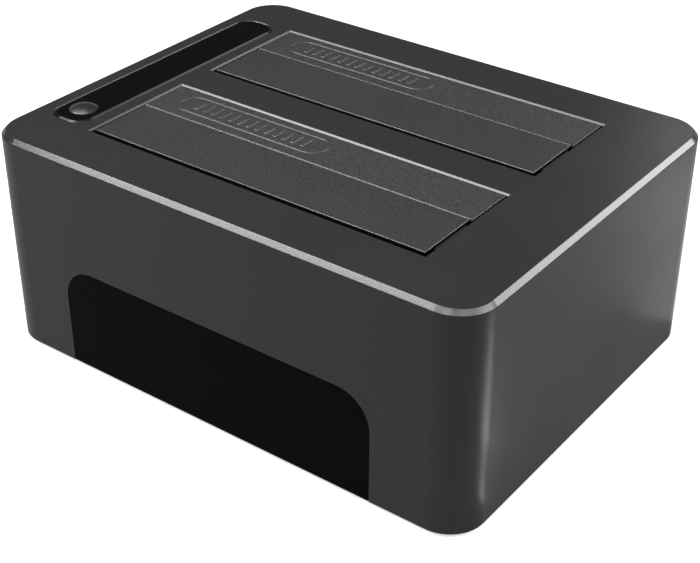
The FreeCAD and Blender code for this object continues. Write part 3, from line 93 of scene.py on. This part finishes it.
# Moulded plastic: a spark-eroded mould leaves a fine even grain, and handling leaves slow
# changes of gloss over the surface. band is (low, high, roughness) for a polished band of
# heights, inner is (x span, y span, roughness) for the middle of the top, and the last
# argument gives two heights below which painted shade darkens the colour and the shine, for a gap
def mouldedPlastic(name, colour, lighter, roughness, grain, depth, specular=0.5, gloss=0.08,
                   band=None, inner=None, paintedShadeSpan=None):
    material = newMaterial(name)
    place = addNode(material, "ShaderNodeTexCoord")
    fine = addNode(material, "ShaderNodeTexNoise",
                   {"Scale": 1 / (grain * mm), "Detail": 3.0, "Roughness": 0.6},
                   {"Vector": place.outputs["Object"]})
    slow = addNode(material, "ShaderNodeTexNoise",
                   {"Scale": 1 / (mould["cloud"] * mm), "Detail": 2.0, "Roughness": 0.5},
                   {"Vector": place.outputs["Object"]})
    speckle = addNode(material, "ShaderNodeMapRange",
                      {"From Min": mould["grainSpan"][0], "From Max": mould["grainSpan"][1],
                       "To Min": 0.0, "To Max": 1.0},
                      {"Value": fine.outputs["Fac"]})
    tint = addNode(material, "ShaderNodeMix",
                   {"data_type": "RGBA", 6: toLinear(colour), 7: toLinear(lighter)},
                   {0: speckle.outputs["Result"]})
    rough = addNode(material, "ShaderNodeMapRange",
                    {"From Min": mould["cloudSpan"][0], "From Max": mould["cloudSpan"][1],
                     "To Min": roughness - gloss / 2, "To Max": roughness + gloss / 2},
                    {"Value": slow.outputs["Fac"]})
    bump = addNode(material, "ShaderNodeBump", {"Strength": 1.0, "Distance": depth * mm},
                   {"Height": fine.outputs["Fac"]})
    roughSocket = rough.outputs["Result"]
    colourSocket = tint.outputs[2]
    axes = addNode(material, "ShaderNodeSeparateXYZ", {}, {0: place.outputs["Object"]})

    def within(axis, low, high):
        return addNode(material, "ShaderNodeMath",
                       {"operation": "COMPARE",
                        1: (low + high) / 2 * mm, 2: (high - low) / 2 * mm},
                       {0: axes.outputs[axis]}).outputs[0]

    def replaceWhere(mask, value, before):
        return addNode(material, "ShaderNodeMix", {"data_type": "FLOAT", 3: value},
                       {0: mask, 2: before}).outputs[0]

    if band:
        low, high, polished = band
        roughSocket = replaceWhere(within("Z", low, high), polished, roughSocket)
    if inner:
        across, along, middle = inner
        inside = addNode(material, "ShaderNodeMath", {"operation": "MULTIPLY"},
                         {0: within("X", *across), 1: within("Y", *along)})
        roughSocket = replaceWhere(inside.outputs[0], middle, roughSocket)
    settings = {"IOR": mould["ior"], "Specular IOR Level": specular}
    links = {"Roughness": roughSocket, "Normal": bump.outputs["Normal"]}
    # painted shade: below these heights the colour fades to near black and the shine with it,
    # standing in for the shade inside a gap
    if paintedShadeSpan:
        low, high = paintedShadeSpan
        paintedGapShade = addNode(material, "ShaderNodeMapRange",
                       {"From Min": low * mm, "From Max": high * mm,
                        "To Min": mould["gapShade"], "To Max": 1.0},
                       {"Value": axes.outputs["Z"]}).outputs["Result"]
        colourSocket = addNode(material, "ShaderNodeMix",
                               {"data_type": "RGBA", 6: (0.0, 0.0, 0.0, 1.0)},
                               {0: paintedGapShade, 7: colourSocket}).outputs[2]
        shine = addNode(material, "ShaderNodeMath", {"operation": "MULTIPLY", 1: specular},
                        {0: paintedGapShade})
        links["Specular IOR Level"] = shine.outputs[0]
    links["Base Color"] = colourSocket
    shader = addNode(material, "ShaderNodeBsdfPrincipled", settings, links)
    return finishMaterial(material, shader)


# Position (mm), forward, focal length (pixels of a picture 700 wide) and roll (degrees)
# were found from the corners of the case in the photo. sensor is in mm and clip in m
cameraPlace = {"position": (206.62, -279.51, 233.70), "forward": (-0.50329, 0.68158, -0.53117),
               "focal": 1478.06, "width": 700.0, "roll": 0.25, "sensor": 36.0,
               "clip": (0.01, 20.0)}


def makeCamera(place):
    data = bpy.data.cameras.new("photoCamera")
    data.sensor_fit = "HORIZONTAL"
    data.sensor_width = place["sensor"]
    data.lens = place["focal"] / place["width"] * data.sensor_width
    data.clip_start, data.clip_end = place["clip"]
    camera = bpy.data.objects.new("photoCamera", data)
    bpy.context.scene.collection.objects.link(camera)
    forward = Vector(place["forward"]).normalized()
    turn = forward.to_track_quat("-Z", "Y").to_matrix().to_4x4()
    spin = Matrix.Rotation(math.radians(place["roll"]), 4, "Z")
    camera.matrix_world = Matrix.Translation(Vector(place["position"]) * mm) @ turn @ spin
    bpy.context.scene.camera = camera


makeCamera(cameraPlace)
print("camera placed")


# Radius and glow distances in m, drop in mm: the feet stand just clear of the floor, so
# that the two surfaces don't flicker into each other
stage = {"floorRadius": 3.0, "floorSides": 64, "floorColour": "#a0a0a0",
         "reflectedColour": "#767676", "floorGlow": 0.65, "glossyGlow": 0.29,
         "glowNear": 0.2, "glowFar": 0.5, "floorDrop": 0.05}


def makeStage():
    bm = bmesh.new()
    bmesh.ops.create_circle(bm, cap_ends=True, radius=stage["floorRadius"],
                            segments=stage["floorSides"])
    mesh = bpy.data.meshes.new("floor")
    bm.to_mesh(mesh)
    bm.free()
    mesh.transform(Matrix.Translation((0, 0, -stage["floorDrop"] * mm)))
    floor = bpy.data.objects.new("floor", mesh)
    bpy.context.scene.collection.objects.link(floor)
    material = newMaterial("pale studio floor")
    ray = addNode(material, "ShaderNodeLightPath")
    glossy = addNode(material, "ShaderNodeMath", {"operation": "MULTIPLY", 1: stage["glossyGlow"]},
                     {0: ray.outputs["Is Glossy Ray"]})
    shown = addNode(material, "ShaderNodeMath", {"operation": "MAXIMUM"},
                    {0: ray.outputs["Is Camera Ray"], 1: glossy.outputs[0]})
    shownToo = addNode(material, "ShaderNodeMath", {"operation": "MAXIMUM"},
                       {0: shown.outputs[0], 1: ray.outputs["Is Transmission Ray"]})
    # the floor that the case reflects is the darker one of the two
    colour = addNode(material, "ShaderNodeMix",
                     {"data_type": "RGBA", 6: toLinear(stage["floorColour"]),
                      7: toLinear(stage["reflectedColour"])},
                     {0: ray.outputs["Is Glossy Ray"]})
    diffuse = addNode(material, "ShaderNodeBsdfDiffuse", {}, {"Color": colour.outputs[2]})
    # dim enough to show the case's shadow near it, and white farther away
    place = addNode(material, "ShaderNodeTexCoord")
    away = addNode(material, "ShaderNodeVectorMath", {"operation": "LENGTH"},
                   {0: place.outputs["Object"]})
    level = addNode(material, "ShaderNodeMapRange",
                    {"From Min": stage["glowNear"], "From Max": stage["glowFar"],
                     "To Min": stage["floorGlow"], "To Max": 1.0}, {"Value": away.outputs["Value"]})
    strength = addNode(material, "ShaderNodeMath", {"operation": "MULTIPLY"},
                       {0: shownToo.outputs[0], 1: level.outputs["Result"]})
    glow = addNode(material, "ShaderNodeEmission", {"Color": (1, 1, 1, 1)},
                   {"Strength": strength.outputs[0]})
    both = addNode(material, "ShaderNodeAddShader", {}, {0: diffuse.outputs[0], 1: glow.outputs[0]})
    finishMaterial(material, both)
    wear(floor, material)


# The sweep's two heights are those of a direction of length 1
studio = {"fill": 0.15, "dimRoom": 0.05, "sweepLow": 0.02, "sweepHigh": 0.18}


def makeWorld():
    world = bpy.data.worlds.new("studio")
    world.use_nodes = True
    bpy.context.scene.world = world
    world.node_tree.nodes.clear()
    ray = addNode(world, "ShaderNodeLightPath")
    place = addNode(world, "ShaderNodeTexCoord")
    axes = addNode(world, "ShaderNodeSeparateXYZ", {}, {0: place.outputs["Generated"]})
    # what shines sees a white sweep low down and a dim room above it
    sweep = addNode(world, "ShaderNodeMapRange",
                    {"From Min": studio["sweepLow"], "From Max": studio["sweepHigh"],
                     "To Min": 1.0, "To Max": studio["dimRoom"]},
                    {"Value": axes.outputs["Z"]})
    swept = addNode(world, "ShaderNodeMath", {"operation": "MULTIPLY"},
                    {0: ray.outputs["Is Glossy Ray"], 1: sweep.outputs[0]})
    clear = addNode(world, "ShaderNodeMath", {"operation": "MAXIMUM"},
                    {0: ray.outputs["Is Camera Ray"], 1: ray.outputs["Is Transmission Ray"]})
    shown = addNode(world, "ShaderNodeMath", {"operation": "MAXIMUM"},
                    {0: clear.outputs[0], 1: swept.outputs[0]})
    fill = addNode(world, "ShaderNodeMath", {"operation": "MULTIPLY", 1: studio["fill"]},
                   {0: ray.outputs["Is Diffuse Ray"]})
    level = addNode(world, "ShaderNodeMath", {"operation": "MAXIMUM"},
                    {0: shown.outputs[0], 1: fill.outputs[0]})
    sky = addNode(world, "ShaderNodeBackground", {"Color": (1, 1, 1, 1)},
                  {"Strength": level.outputs[0]})
    output = addNode(world, "ShaderNodeOutputWorld")
    world.node_tree.links.new(sky.outputs[0], output.inputs["Surface"])


# Places and sizes in mm, power in W, turn about the lamp's own axis in degrees
lamps = {
    "leftSoftbox": {"from": (-274, -253, 454), "to": (-8, -29, 168), "size": (285, 170),
                    "power": 5.2, "turn": 37},
    "rightSoftbox": {"from": (370, 494, 318), "to": (132, 146, 142), "size": (260, 190),
                     "power": 2.5, "turn": -30},
    "rightBank": {"from": (249, 498, 519), "to": (11, 148, 342), "size": (240, 100),
                  "power": 1.2, "turn": -45},
    "cornerBox": {"from": (480, -300, 760), "to": (70, -50, 62), "size": (700, 180),
                  "power": 3.7, "turn": 0},
    "cornerLeft": {"from": (-15, -540, 740), "to": (60, -55, 62), "size": (600, 130),
                   "power": 3.8, "turn": 0},
    "cornerRight": {"from": (670, 235, 606), "to": (74, -45, 62), "size": (600, 140),
                    "power": 4.2, "turn": -22},
    "overhead": {"from": (-40, -60, 350), "to": (-40, -60, 63), "size": (200, 120),
                 "power": 0.6, "turn": 0},
    # seen mirrored in the right end of the top
    "topSheen": {"from": (-38, 353, 241), "to": (70, 25, 63), "size": (60, 110),
                 "power": 0.045, "turn": 0},
    # cards lying on the floor, which the case's walls reflect. Each is aimed a hair off
    # plumb, so that its turn has a direction to start from
    "cornerCard": {"from": (122, -11, 1), "to": (122, -10.9, 50), "size": (18, 60),
                   "power": 0.013, "turn": 50},
    "footCard": {"from": (92, -35, 1), "to": (92, -34.9, 50), "size": (5, 26),
                 "power": 0.0012, "turn": 50},
    "farCard": {"from": (92, 112, 1), "to": (92, 112.1, 50), "size": (44, 112),
                "power": 0.009, "turn": 25},
}


def makeLamps():
    for name, lamp in lamps.items():
        data = bpy.data.lights.new(name, "AREA")
        data.shape = "RECTANGLE"
        data.size, data.size_y = (side * mm for side in lamp["size"])
        data.energy = lamp["power"]
        light = bpy.data.objects.new(name, data)
        bpy.context.scene.collection.objects.link(light)
        aim = (Vector(lamp["to"]) - Vector(lamp["from"])).to_track_quat("-Z", "Y")
        aimed = Matrix.Translation(Vector(lamp["from"]) * mm) @ aim.to_matrix().to_4x4()
        turned = Matrix.Rotation(math.radians(lamp["turn"]), 4, "Z")
        light.matrix_world = aimed @ turned


makeStage()
makeWorld()
makeLamps()
bpy.context.scene.view_settings.view_transform = "Standard"
print("stage and lamps ready")


# A noise's middle stretch as a roughness between two values
def spreadRoughness(material, noise, span):
    return addNode(material, "ShaderNodeMapRange",
                   {"From Min": mould["grainSpan"][0], "From Max": mould["grainSpan"][1],
                    "To Min": span[0], "To Max": span[1]},
                   {"Value": noise.outputs["Fac"]})


# The shader of the plain finishes. A socket that is None keeps the value in settings
def coat(material, colourSocket, roughSocket, bumpSocket, settings):
    links = {"Base Color": colourSocket, "Roughness": roughSocket, "Normal": bumpSocket}
    shader = addNode(material, "ShaderNodeBsdfPrincipled", settings,
                     {name: socket for name, socket in links.items() if socket is not None})
    return finishMaterial(material, shader)


metal = {"span": (0.2, 0.8), "smoothest": 0.75, "roughest": 1.3, "relief": 0.01, "strength": 0.6}


# Plated or bare metal: fine scratches drawn out along one axis, which tint it and vary its
# gloss. scratch is their width in mm
def metalFinish(name, colour, darker, roughness, scratch, stretch):
    material = newMaterial(name)
    place = addNode(material, "ShaderNodeTexCoord")
    along = addNode(material, "ShaderNodeMapping", {"Scale": stretch},
                    {"Vector": place.outputs["Object"]})
    lines = addNode(material, "ShaderNodeTexNoise",
                    {"Scale": 1 / (scratch * mm), "Detail": 4.0, "Roughness": 0.65},
                    {"Vector": along.outputs[0]})
    tint = addNode(material, "ShaderNodeMix",
                   {"data_type": "RGBA", 6: toLinear(darker), 7: toLinear(colour)},
                   {0: lines.outputs["Fac"]})
    rough = addNode(material, "ShaderNodeMapRange",
                    {"From Min": metal["span"][0], "From Max": metal["span"][1],
                     "To Min": roughness * metal["smoothest"],
                     "To Max": roughness * metal["roughest"]},
                    {"Value": lines.outputs["Fac"]})
    bump = addNode(material, "ShaderNodeBump",
                   {"Strength": metal["strength"], "Distance": metal["relief"] * mm},
                   {"Height": lines.outputs["Fac"]})
    return coat(material, tint.outputs[2], rough.outputs[0], bump.outputs[0], {"Metallic": 1.0})


# Sizes in mm. Cross lines join neighbouring tracks every so many pitches, run
board = {"line": 0.3, "run": 5, "weave": 0.4, "roughness": (0.28, 0.42), "relief": 0.03}


# Solder mask over copper: tracks show as slightly raised, lighter lines
def boardFinish(name, mask, track, pitch):
    material = newMaterial(name)
    place = addNode(material, "ShaderNodeTexCoord")
    tracks = addNode(material, "ShaderNodeTexBrick",
                     {"Scale": 1.0, "Mortar Size": board["line"] * mm, "Mortar Smooth": 0.2,
                      "Brick Width": pitch * board["run"] * mm, "Row Height": pitch * mm,
                      "Color1": toLinear(mask), "Color2": toLinear(mask),
                      "Mortar": toLinear(track)},
                     {"Vector": place.outputs["Object"]})
    weave = addNode(material, "ShaderNodeTexNoise",
                    {"Scale": 1 / (board["weave"] * mm), "Detail": 2.0},
                    {"Vector": place.outputs["Object"]})
    rough = spreadRoughness(material, weave, board["roughness"])
    bump = addNode(material, "ShaderNodeBump",
                   {"Strength": 0.5, "Distance": board["relief"] * mm},
                   {"Height": tracks.outputs["Fac"]})
    return coat(material, tracks.outputs["Color"], rough.outputs[0], bump.outputs[0],
                {"IOR": 1.5})


can = {"sleeveTop": 15.2, "grain": 0.5, "roughness": (0.25, 0.4), "relief": 0.01}


# Electrolytic can: printed plastic sleeve below, bare aluminium top
def sleeveFinish(name, sleeve, aluminium):
    material = newMaterial(name)
    place = addNode(material, "ShaderNodeTexCoord")
    parts = addNode(material, "ShaderNodeSeparateXYZ", {}, {0: place.outputs["Object"]})
    above = addNode(material, "ShaderNodeMath",
                    {"operation": "GREATER_THAN", 1: can["sleeveTop"] * mm},
                    {0: parts.outputs["Z"]})
    grain = addNode(material, "ShaderNodeTexNoise",
                    {"Scale": 1 / (can["grain"] * mm), "Detail": 3.0},
                    {"Vector": place.outputs["Object"]})
    tint = addNode(material, "ShaderNodeMix",
                   {"data_type": "RGBA", 6: toLinear(sleeve), 7: toLinear(aluminium)},
                   {0: above.outputs[0]})
    rough = spreadRoughness(material, grain, can["roughness"])
    bump = addNode(material, "ShaderNodeBump",
                   {"Strength": 0.4, "Distance": can["relief"] * mm},
                   {"Height": grain.outputs["Fac"]})
    shader = addNode(material, "ShaderNodeBsdfPrincipled", {},
                     {"Base Color": tint.outputs[2], "Roughness": rough.outputs[0],
                      "Metallic": above.outputs[0], "Normal": bump.outputs[0]})
    return finishMaterial(material, shader)


# Sizes in mm. A wave texture of scale 1 has about 10 / pi bands in one unit
ribbon = {"bandsPerUnit": 3.18, "grain": 2, "roughness": (0.4, 0.55), "relief": 0.2}


# Flat cable: round insulated wires lying side by side, the grooves between them darkened with
# painted shade
def ribbonFinish(name, colour, paintedGrooveShade, pitch, wireAxis):
    material = newMaterial(name)
    place = addNode(material, "ShaderNodeTexCoord")
    wires = addNode(material, "ShaderNodeTexWave",
                    {"bands_direction": wireAxis, "wave_profile": "SIN",
                     "Scale": 1 / (pitch * mm) / ribbon["bandsPerUnit"],
                     "Distortion": 0.0, "Detail": 0.0},
                    {"Vector": place.outputs["Object"]})
    # painted shade: the colour darkens from each wire's crest down into the groove
    tint = addNode(material, "ShaderNodeMix",
                   {"data_type": "RGBA", 6: toLinear(paintedGrooveShade), 7: toLinear(colour)},
                   {0: wires.outputs["Fac"]})
    soft = addNode(material, "ShaderNodeTexNoise", {"Scale": 1 / (ribbon["grain"] * mm)},
                   {"Vector": place.outputs["Object"]})
    rough = spreadRoughness(material, soft, ribbon["roughness"])
    bump = addNode(material, "ShaderNodeBump",
                   {"Strength": 0.8, "Distance": ribbon["relief"] * mm},
                   {"Height": wires.outputs["Fac"]})
    return coat(material, tint.outputs[2], rough.outputs[0], bump.outputs[0], {"IOR": 1.5})


acrylic = {"wave": 4, "roughness": (0.08, 0.2), "relief": 0.02}


# Clear acrylic: a little haze and slow moulding waves
def clearFinish(name, colour):
    material = newMaterial(name)
    place = addNode(material, "ShaderNodeTexCoord")
    wavy = addNode(material, "ShaderNodeTexNoise", {"Scale": 1 / (acrylic["wave"] * mm)},
                   {"Vector": place.outputs["Object"]})
    rough = spreadRoughness(material, wavy, acrylic["roughness"])
    bump = addNode(material, "ShaderNodeBump",
                   {"Strength": 0.2, "Distance": acrylic["relief"] * mm},
                   {"Height": wavy.outputs["Fac"]})
    return coat(material, None, rough.outputs[0], bump.outputs[0],
                {"Base Color": toLinear(colour), "IOR": 1.49, "Transmission Weight": 0.9})


# Grain and depth in mm; heights and rectangles in mm of the shared frame, where the top
# face lies at 63
finishes = {
    "caseAbs": mouldedPlastic("satin moulded ABS black", "#181819", "#1f1f20", roughness=0.32,
                              grain=0.30, depth=0.006, specular=0.25,
                              band=(61.6, 62.97, 0.19), inner=((-72, 53), (-43, 43), 0.30)),
    # the doors' edges low in the gap get painted shade between the last two heights
    "doorAbs": mouldedPlastic("spark textured ABS black", "#151516", "#2b2b2c", roughness=0.36,
                              grain=0.50, depth=0.03, specular=0.4,
                              band=(62.61, 63.6, 0.45), paintedShadeSpan=(62.05, 62.2)),
    # the liners' black is darker than the case's: painted shade for the gaps they are seen through
    "linerAbs": mouldedPlastic("matt moulded ABS black", "#0f0f10", "#151516", roughness=0.35,
                               grain=0.40, depth=0.01, specular=0.4),
    "gloss": mouldedPlastic("piano black acrylic", "#030304", "#050506", roughness=0.07,
                            grain=0.30, depth=0.0, specular=0.02, gloss=0.03),
    "smoked": mouldedPlastic("smoked acrylic strip", "#030304", "#050506", roughness=0.10,
                             grain=0.30, depth=0.0, specular=0.14, gloss=0.03,
                             band=(62.76, 63.14, 0.30)),
    "buttonAbs": mouldedPlastic("satin ABS button black", "#0f0f10", "#151516", roughness=0.36,
                                grain=0.30, depth=0.004, specular=0.5),
    "rubber": mouldedPlastic("moulded rubber dark grey", "#1b1b1b", "#262626", roughness=0.8,
                             grain=0.50, depth=0.06, specular=0.3),
    "epoxy": mouldedPlastic("moulded epoxy chip case", "#131314", "#1d1d1e", roughness=0.5,
                            grain=0.25, depth=0.02),
    "ferrite": mouldedPlastic("pressed ferrite grey", "#2c2c2e", "#3b3b3d", roughness=0.6,
                              grain=0.35, depth=0.04),
    "nylonBlack": mouldedPlastic("moulded nylon black", "#121213", "#19191a", roughness=0.38,
                                 grain=0.35, depth=0.01),
    "nylonPale": mouldedPlastic("moulded nylon natural", "#d5cfbc", "#dfdac9", roughness=0.45,
                                grain=0.40, depth=0.01),
    "ledEpoxy": mouldedPlastic("cast epoxy lamp lens", "#dcd8bf", "#ebe8d8", roughness=0.2,
                               grain=0.50, depth=0.0),
    "nickel": metalFinish("nickel plated steel", "#cfccc6", "#b3b0aa", roughness=0.28,
                          scratch=0.5, stretch=(1.0, 6.0, 1.0)),
    "zinc": metalFinish("zinc plated steel", "#b9babd", "#8e9093", roughness=0.35,
                        scratch=0.4, stretch=(1.0, 1.0, 4.0)),
    "springSteel": metalFinish("drawn spring steel", "#a3a3a5", "#76767a", roughness=0.3,
                               scratch=0.3, stretch=(0.2, 1.0, 1.0)),
    "gold": metalFinish("gold plated bronze", "#d8ae55", "#c0943c", roughness=0.24,
                        scratch=0.3, stretch=(1.0, 1.0, 0.2)),
    "tin": metalFinish("tinned brass", "#bdbbb5", "#9c9a94", roughness=0.4,
                       scratch=0.4, stretch=(1.0, 0.3, 1.0)),
    "canSteel": metalFinish("drawn steel can", "#c4c5c6", "#a5a6a8", roughness=0.3,
                            scratch=0.5, stretch=(0.2, 1.0, 1.0)),
    "board": boardFinish("green solder mask on glass epoxy", "#0e3a22", "#1d5a37", pitch=1.6),
    "sleeve": sleeveFinish("sleeved aluminium can", "#17181c", "#c9cacc"),
    "ribbon": ribbonFinish("grey PVC flat cable", "#9a9b9c", "#6d6e70", pitch=1.0, wireAxis="Y"),
    "ink": mouldedPlastic("pad printed pale ink", "#c9c9c6", "#d6d6d3", roughness=0.5,
                          grain=0.25, depth=0.01),
    "clear": clearFinish("clear moulded acrylic", "#eef2f2"),
}

wornBy = {
    "caseAbs": ["upper_housing", "base_plate"],
    "doorAbs": ["front_bay_door", "rear_bay_door"],
    "linerAbs": ["front_bay_liner", "rear_bay_liner"],
    "gloss": ["front_panel"],
    "smoked": ["indicator_panel"],
    "buttonAbs": ["clone_button"],
    "clear": ["light_guide"],
    "board": ["indicator_board", "main_board"],
    "ledEpoxy": ["indicator_lights"],
    "nylonBlack": ["clone_switch_case", "front_drive_connector", "rear_drive_connector",
                   "usb_port_insert", "power_jack_body", "power_switch_case", "power_rocker"],
    "nylonPale": ["clone_switch_plunger", "indicator_header", "main_board_header"],
    "springSteel": ["front_door_hinge_rod", "rear_door_hinge_rod",
                    "front_door_spring", "rear_door_spring"],
    "gold": ["front_drive_contacts", "rear_drive_contacts", "usb_port_contacts"],
    "epoxy": ["bridge_chip", "clone_chip", "firmware_memory", "voltage_regulators"],
    "canSteel": ["clock_crystal"],
    "sleeve": ["capacitors"],
    "ferrite": ["power_coils"],
    "nickel": ["usb_port_shell", "power_jack_pin"],
    "tin": ["power_switch_terminals"],
    "ribbon": ["indicator_ribbon"],
    "rubber": ["rubber_feet"],
    "zinc": ["case_screws", "board_screws", "liner_screws", "indicator_board_screws"],
}
for finish, names in wornBy.items():
    for name in names:
        wear(nodes[name], finishes[finish])
bare = sorted(set(nodes) - {name for names in wornBy.values() for name in names})
print("finishes on; nodes without one:", bare)


# Lengths in mm and angles in degrees
edgeBreak = {"merge": 0.002, "flat": 0.4, "sharp": 32, "crisp": 22}


# Moulded pieces have no sharp edges: merge the loose triangles, join the flat ones,
# break each edge with a small flat that catches the light
def breakEdges(node, width):
    weld = node.modifiers.new("weld", "WELD")
    weld.merge_threshold = edgeBreak["merge"] * mm
    flat = node.modifiers.new("flat", "DECIMATE")
    flat.decimate_type = "DISSOLVE"
    flat.angle_limit = math.radians(edgeBreak["flat"])
    bevel = node.modifiers.new("bevel", "BEVEL")
    bevel.width = width * mm
    bevel.segments = 1
    bevel.limit_method = "ANGLE"
    bevel.angle_limit = math.radians(edgeBreak["sharp"])
    bevel.use_clamp_overlap = True
    crisp = node.modifiers.new("crisp", "EDGE_SPLIT")
    crisp.split_angle = math.radians(edgeBreak["crisp"])


# Width of each piece's broken edge, in mm
broken = {"front_bay_door": 0.3, "rear_bay_door": 0.3, "front_panel": 0.12}
for name, width in broken.items():
    breakEdges(nodes[name], width)
print("edges broken")


# A piece of the scene's own, attached to the body given, if any
def makePiece(name, bm, finish, body, smooth=False):
    bmesh.ops.remove_doubles(bm, verts=bm.verts, dist=0.001 * mm)
    bmesh.ops.recalc_face_normals(bm, faces=bm.faces)
    for face in bm.faces:
        face.smooth = smooth
    mesh = bpy.data.meshes.new(name)
    bm.to_mesh(mesh)
    bm.free()
    piece = bpy.data.objects.new(name, mesh)
    bpy.context.scene.collection.objects.link(piece)
    wear(piece, finishes[finish])
    if body:
        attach(piece, body)
    return piece


# Door springs: one wire, straight along under the door, wound round the hinge rod,
# then straight down the liner's rear wall. wire and mean are radii, in mm
coilSpring = {"wire": 0.22, "mean": 1.4, "turns": 11.25, "stepsPerTurn": 20, "sides": 8,
              "leg": 6.0, "firstX": -44.35, "lastX": -37.85, "hingeZ": 58.7,
              "hingeY": {"front": -8.5, "rear": 39.3}}


# Draw a ring of edges out by a move in mm, and give the ring at the far end
def extrudeRing(bm, edges, move):
    grown = bmesh.ops.extrude_edge_only(bm, edges=edges)["geom"]
    verts = [g for g in grown if isinstance(g, bmesh.types.BMVert)]
    bmesh.ops.translate(bm, verts=verts, vec=Vector(move) * mm)
    ends = set(verts)
    return verts, [g for g in grown if isinstance(g, bmesh.types.BMEdge) and set(g.verts) <= ends]


def makeDoorSpring(bay):
    cs = coilSpring
    hinge = Vector((cs["firstX"], cs["hingeY"][bay], cs["hingeZ"]))
    bm = bmesh.new()
    start = hinge + Vector((0, -cs["leg"], cs["mean"]))
    place = Matrix.Translation(start * mm) @ Matrix.Rotation(math.radians(90), 4, "X")
    ring = bmesh.ops.create_circle(bm, cap_ends=True, radius=cs["wire"] * mm,
                                   segments=cs["sides"], matrix=place)["verts"]
    edges = list({edge for vert in ring for edge in vert.link_edges})
    verts, edges = extrudeRing(bm, edges, (0, cs["leg"], 0))
    steps = int(cs["turns"] * cs["stepsPerTurn"])
    shift = (cs["lastX"] - cs["firstX"]) / steps
    last = bmesh.ops.spin(bm, geom=verts + edges, cent=hinge * mm, axis=(-1, 0, 0),
                          dvec=(shift * mm, 0, 0), angle=2 * math.pi * cs["turns"],
                          steps=steps, use_merge=False)["geom_last"]
    edges = [g for g in last if isinstance(g, bmesh.types.BMEdge)]
    verts, edges = extrudeRing(bm, edges, (0, 0, -cs["leg"]))
    bmesh.ops.edgeloop_fill(bm, edges=edges)
    spring = makePiece(bay + "DoorSpringCoil", bm, "springSteel", None, smooth=True)
    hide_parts(bay + "_door_spring")
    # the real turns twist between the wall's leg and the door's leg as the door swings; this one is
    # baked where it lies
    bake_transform(spring)


for bay in ("front", "rear"):
    makeDoorSpring(bay)
print("springs wound")


# On and off marks printed on the two slopes of the rocker: a bar and a ring. Sizes
# in mm, and the rocker's angle as stored, rest, in degrees
rockerMarks = {"pivot": (26.0, 53.5, 14.2), "rest": -8.0, "out": 2.9, "faceMiddle": 2.4,
               "faceEnd": 3.2, "halfLength": 5.3, "proud": 0.1, "bar": (0.6, 3.0),
               "ring": 1.25, "line": 0.5, "steps": 32}


def makeRockerMark(side):
    rm = rockerMarks
    slope = math.atan2(rm["faceEnd"] - rm["faceMiddle"], rm["halfLength"])
    height = rm["faceMiddle"] + math.tan(slope) * rm["out"]
    lieOn = (Matrix.Translation(Vector((side * rm["out"], height, 0)) * mm)
             @ Matrix.Rotation(side * slope, 4, "Z") @ Matrix.Rotation(math.radians(-90), 4, "X"))
    rocker = (Matrix.Translation(Vector(rm["pivot"]) * mm)
              @ Matrix.Rotation(math.radians(rm["rest"]), 4, "Z"))
    bm = bmesh.new()
    if side < 0:
        bmesh.ops.create_cube(bm, size=mm)
        bmesh.ops.scale(bm, verts=bm.verts, vec=(rm["bar"][0], rm["bar"][1], rm["proud"] * 2))
    else:
        # a circle of four sides is a square 1 mm wide, squeezed and spun into the ring
        square = (Matrix.Rotation(math.radians(90), 4, "X")
                  @ Matrix.Rotation(math.radians(45), 4, "Z"))
        bmesh.ops.create_circle(bm, radius=mm * math.sqrt(0.5), segments=4, matrix=square)
        bmesh.ops.scale(bm, verts=bm.verts, vec=(rm["line"], 1, rm["proud"] * 2))
        bmesh.ops.translate(bm, verts=bm.verts, vec=(rm["ring"] * mm, 0, 0))
        bmesh.ops.spin(bm, geom=bm.verts[:] + bm.edges[:], cent=(0, 0, 0), axis=(0, 0, 1),
                       angle=2 * math.pi, steps=rm["steps"], use_merge=True)
    bmesh.ops.transform(bm, matrix=rocker @ lieOn, verts=bm.verts)
    makePiece("rockerMarkOn" if side < 0 else "rockerMarkOff", bm, "ink", "power_rocker")


for side in (-1, 1):
    makeRockerMark(side)
print("rocker marked")
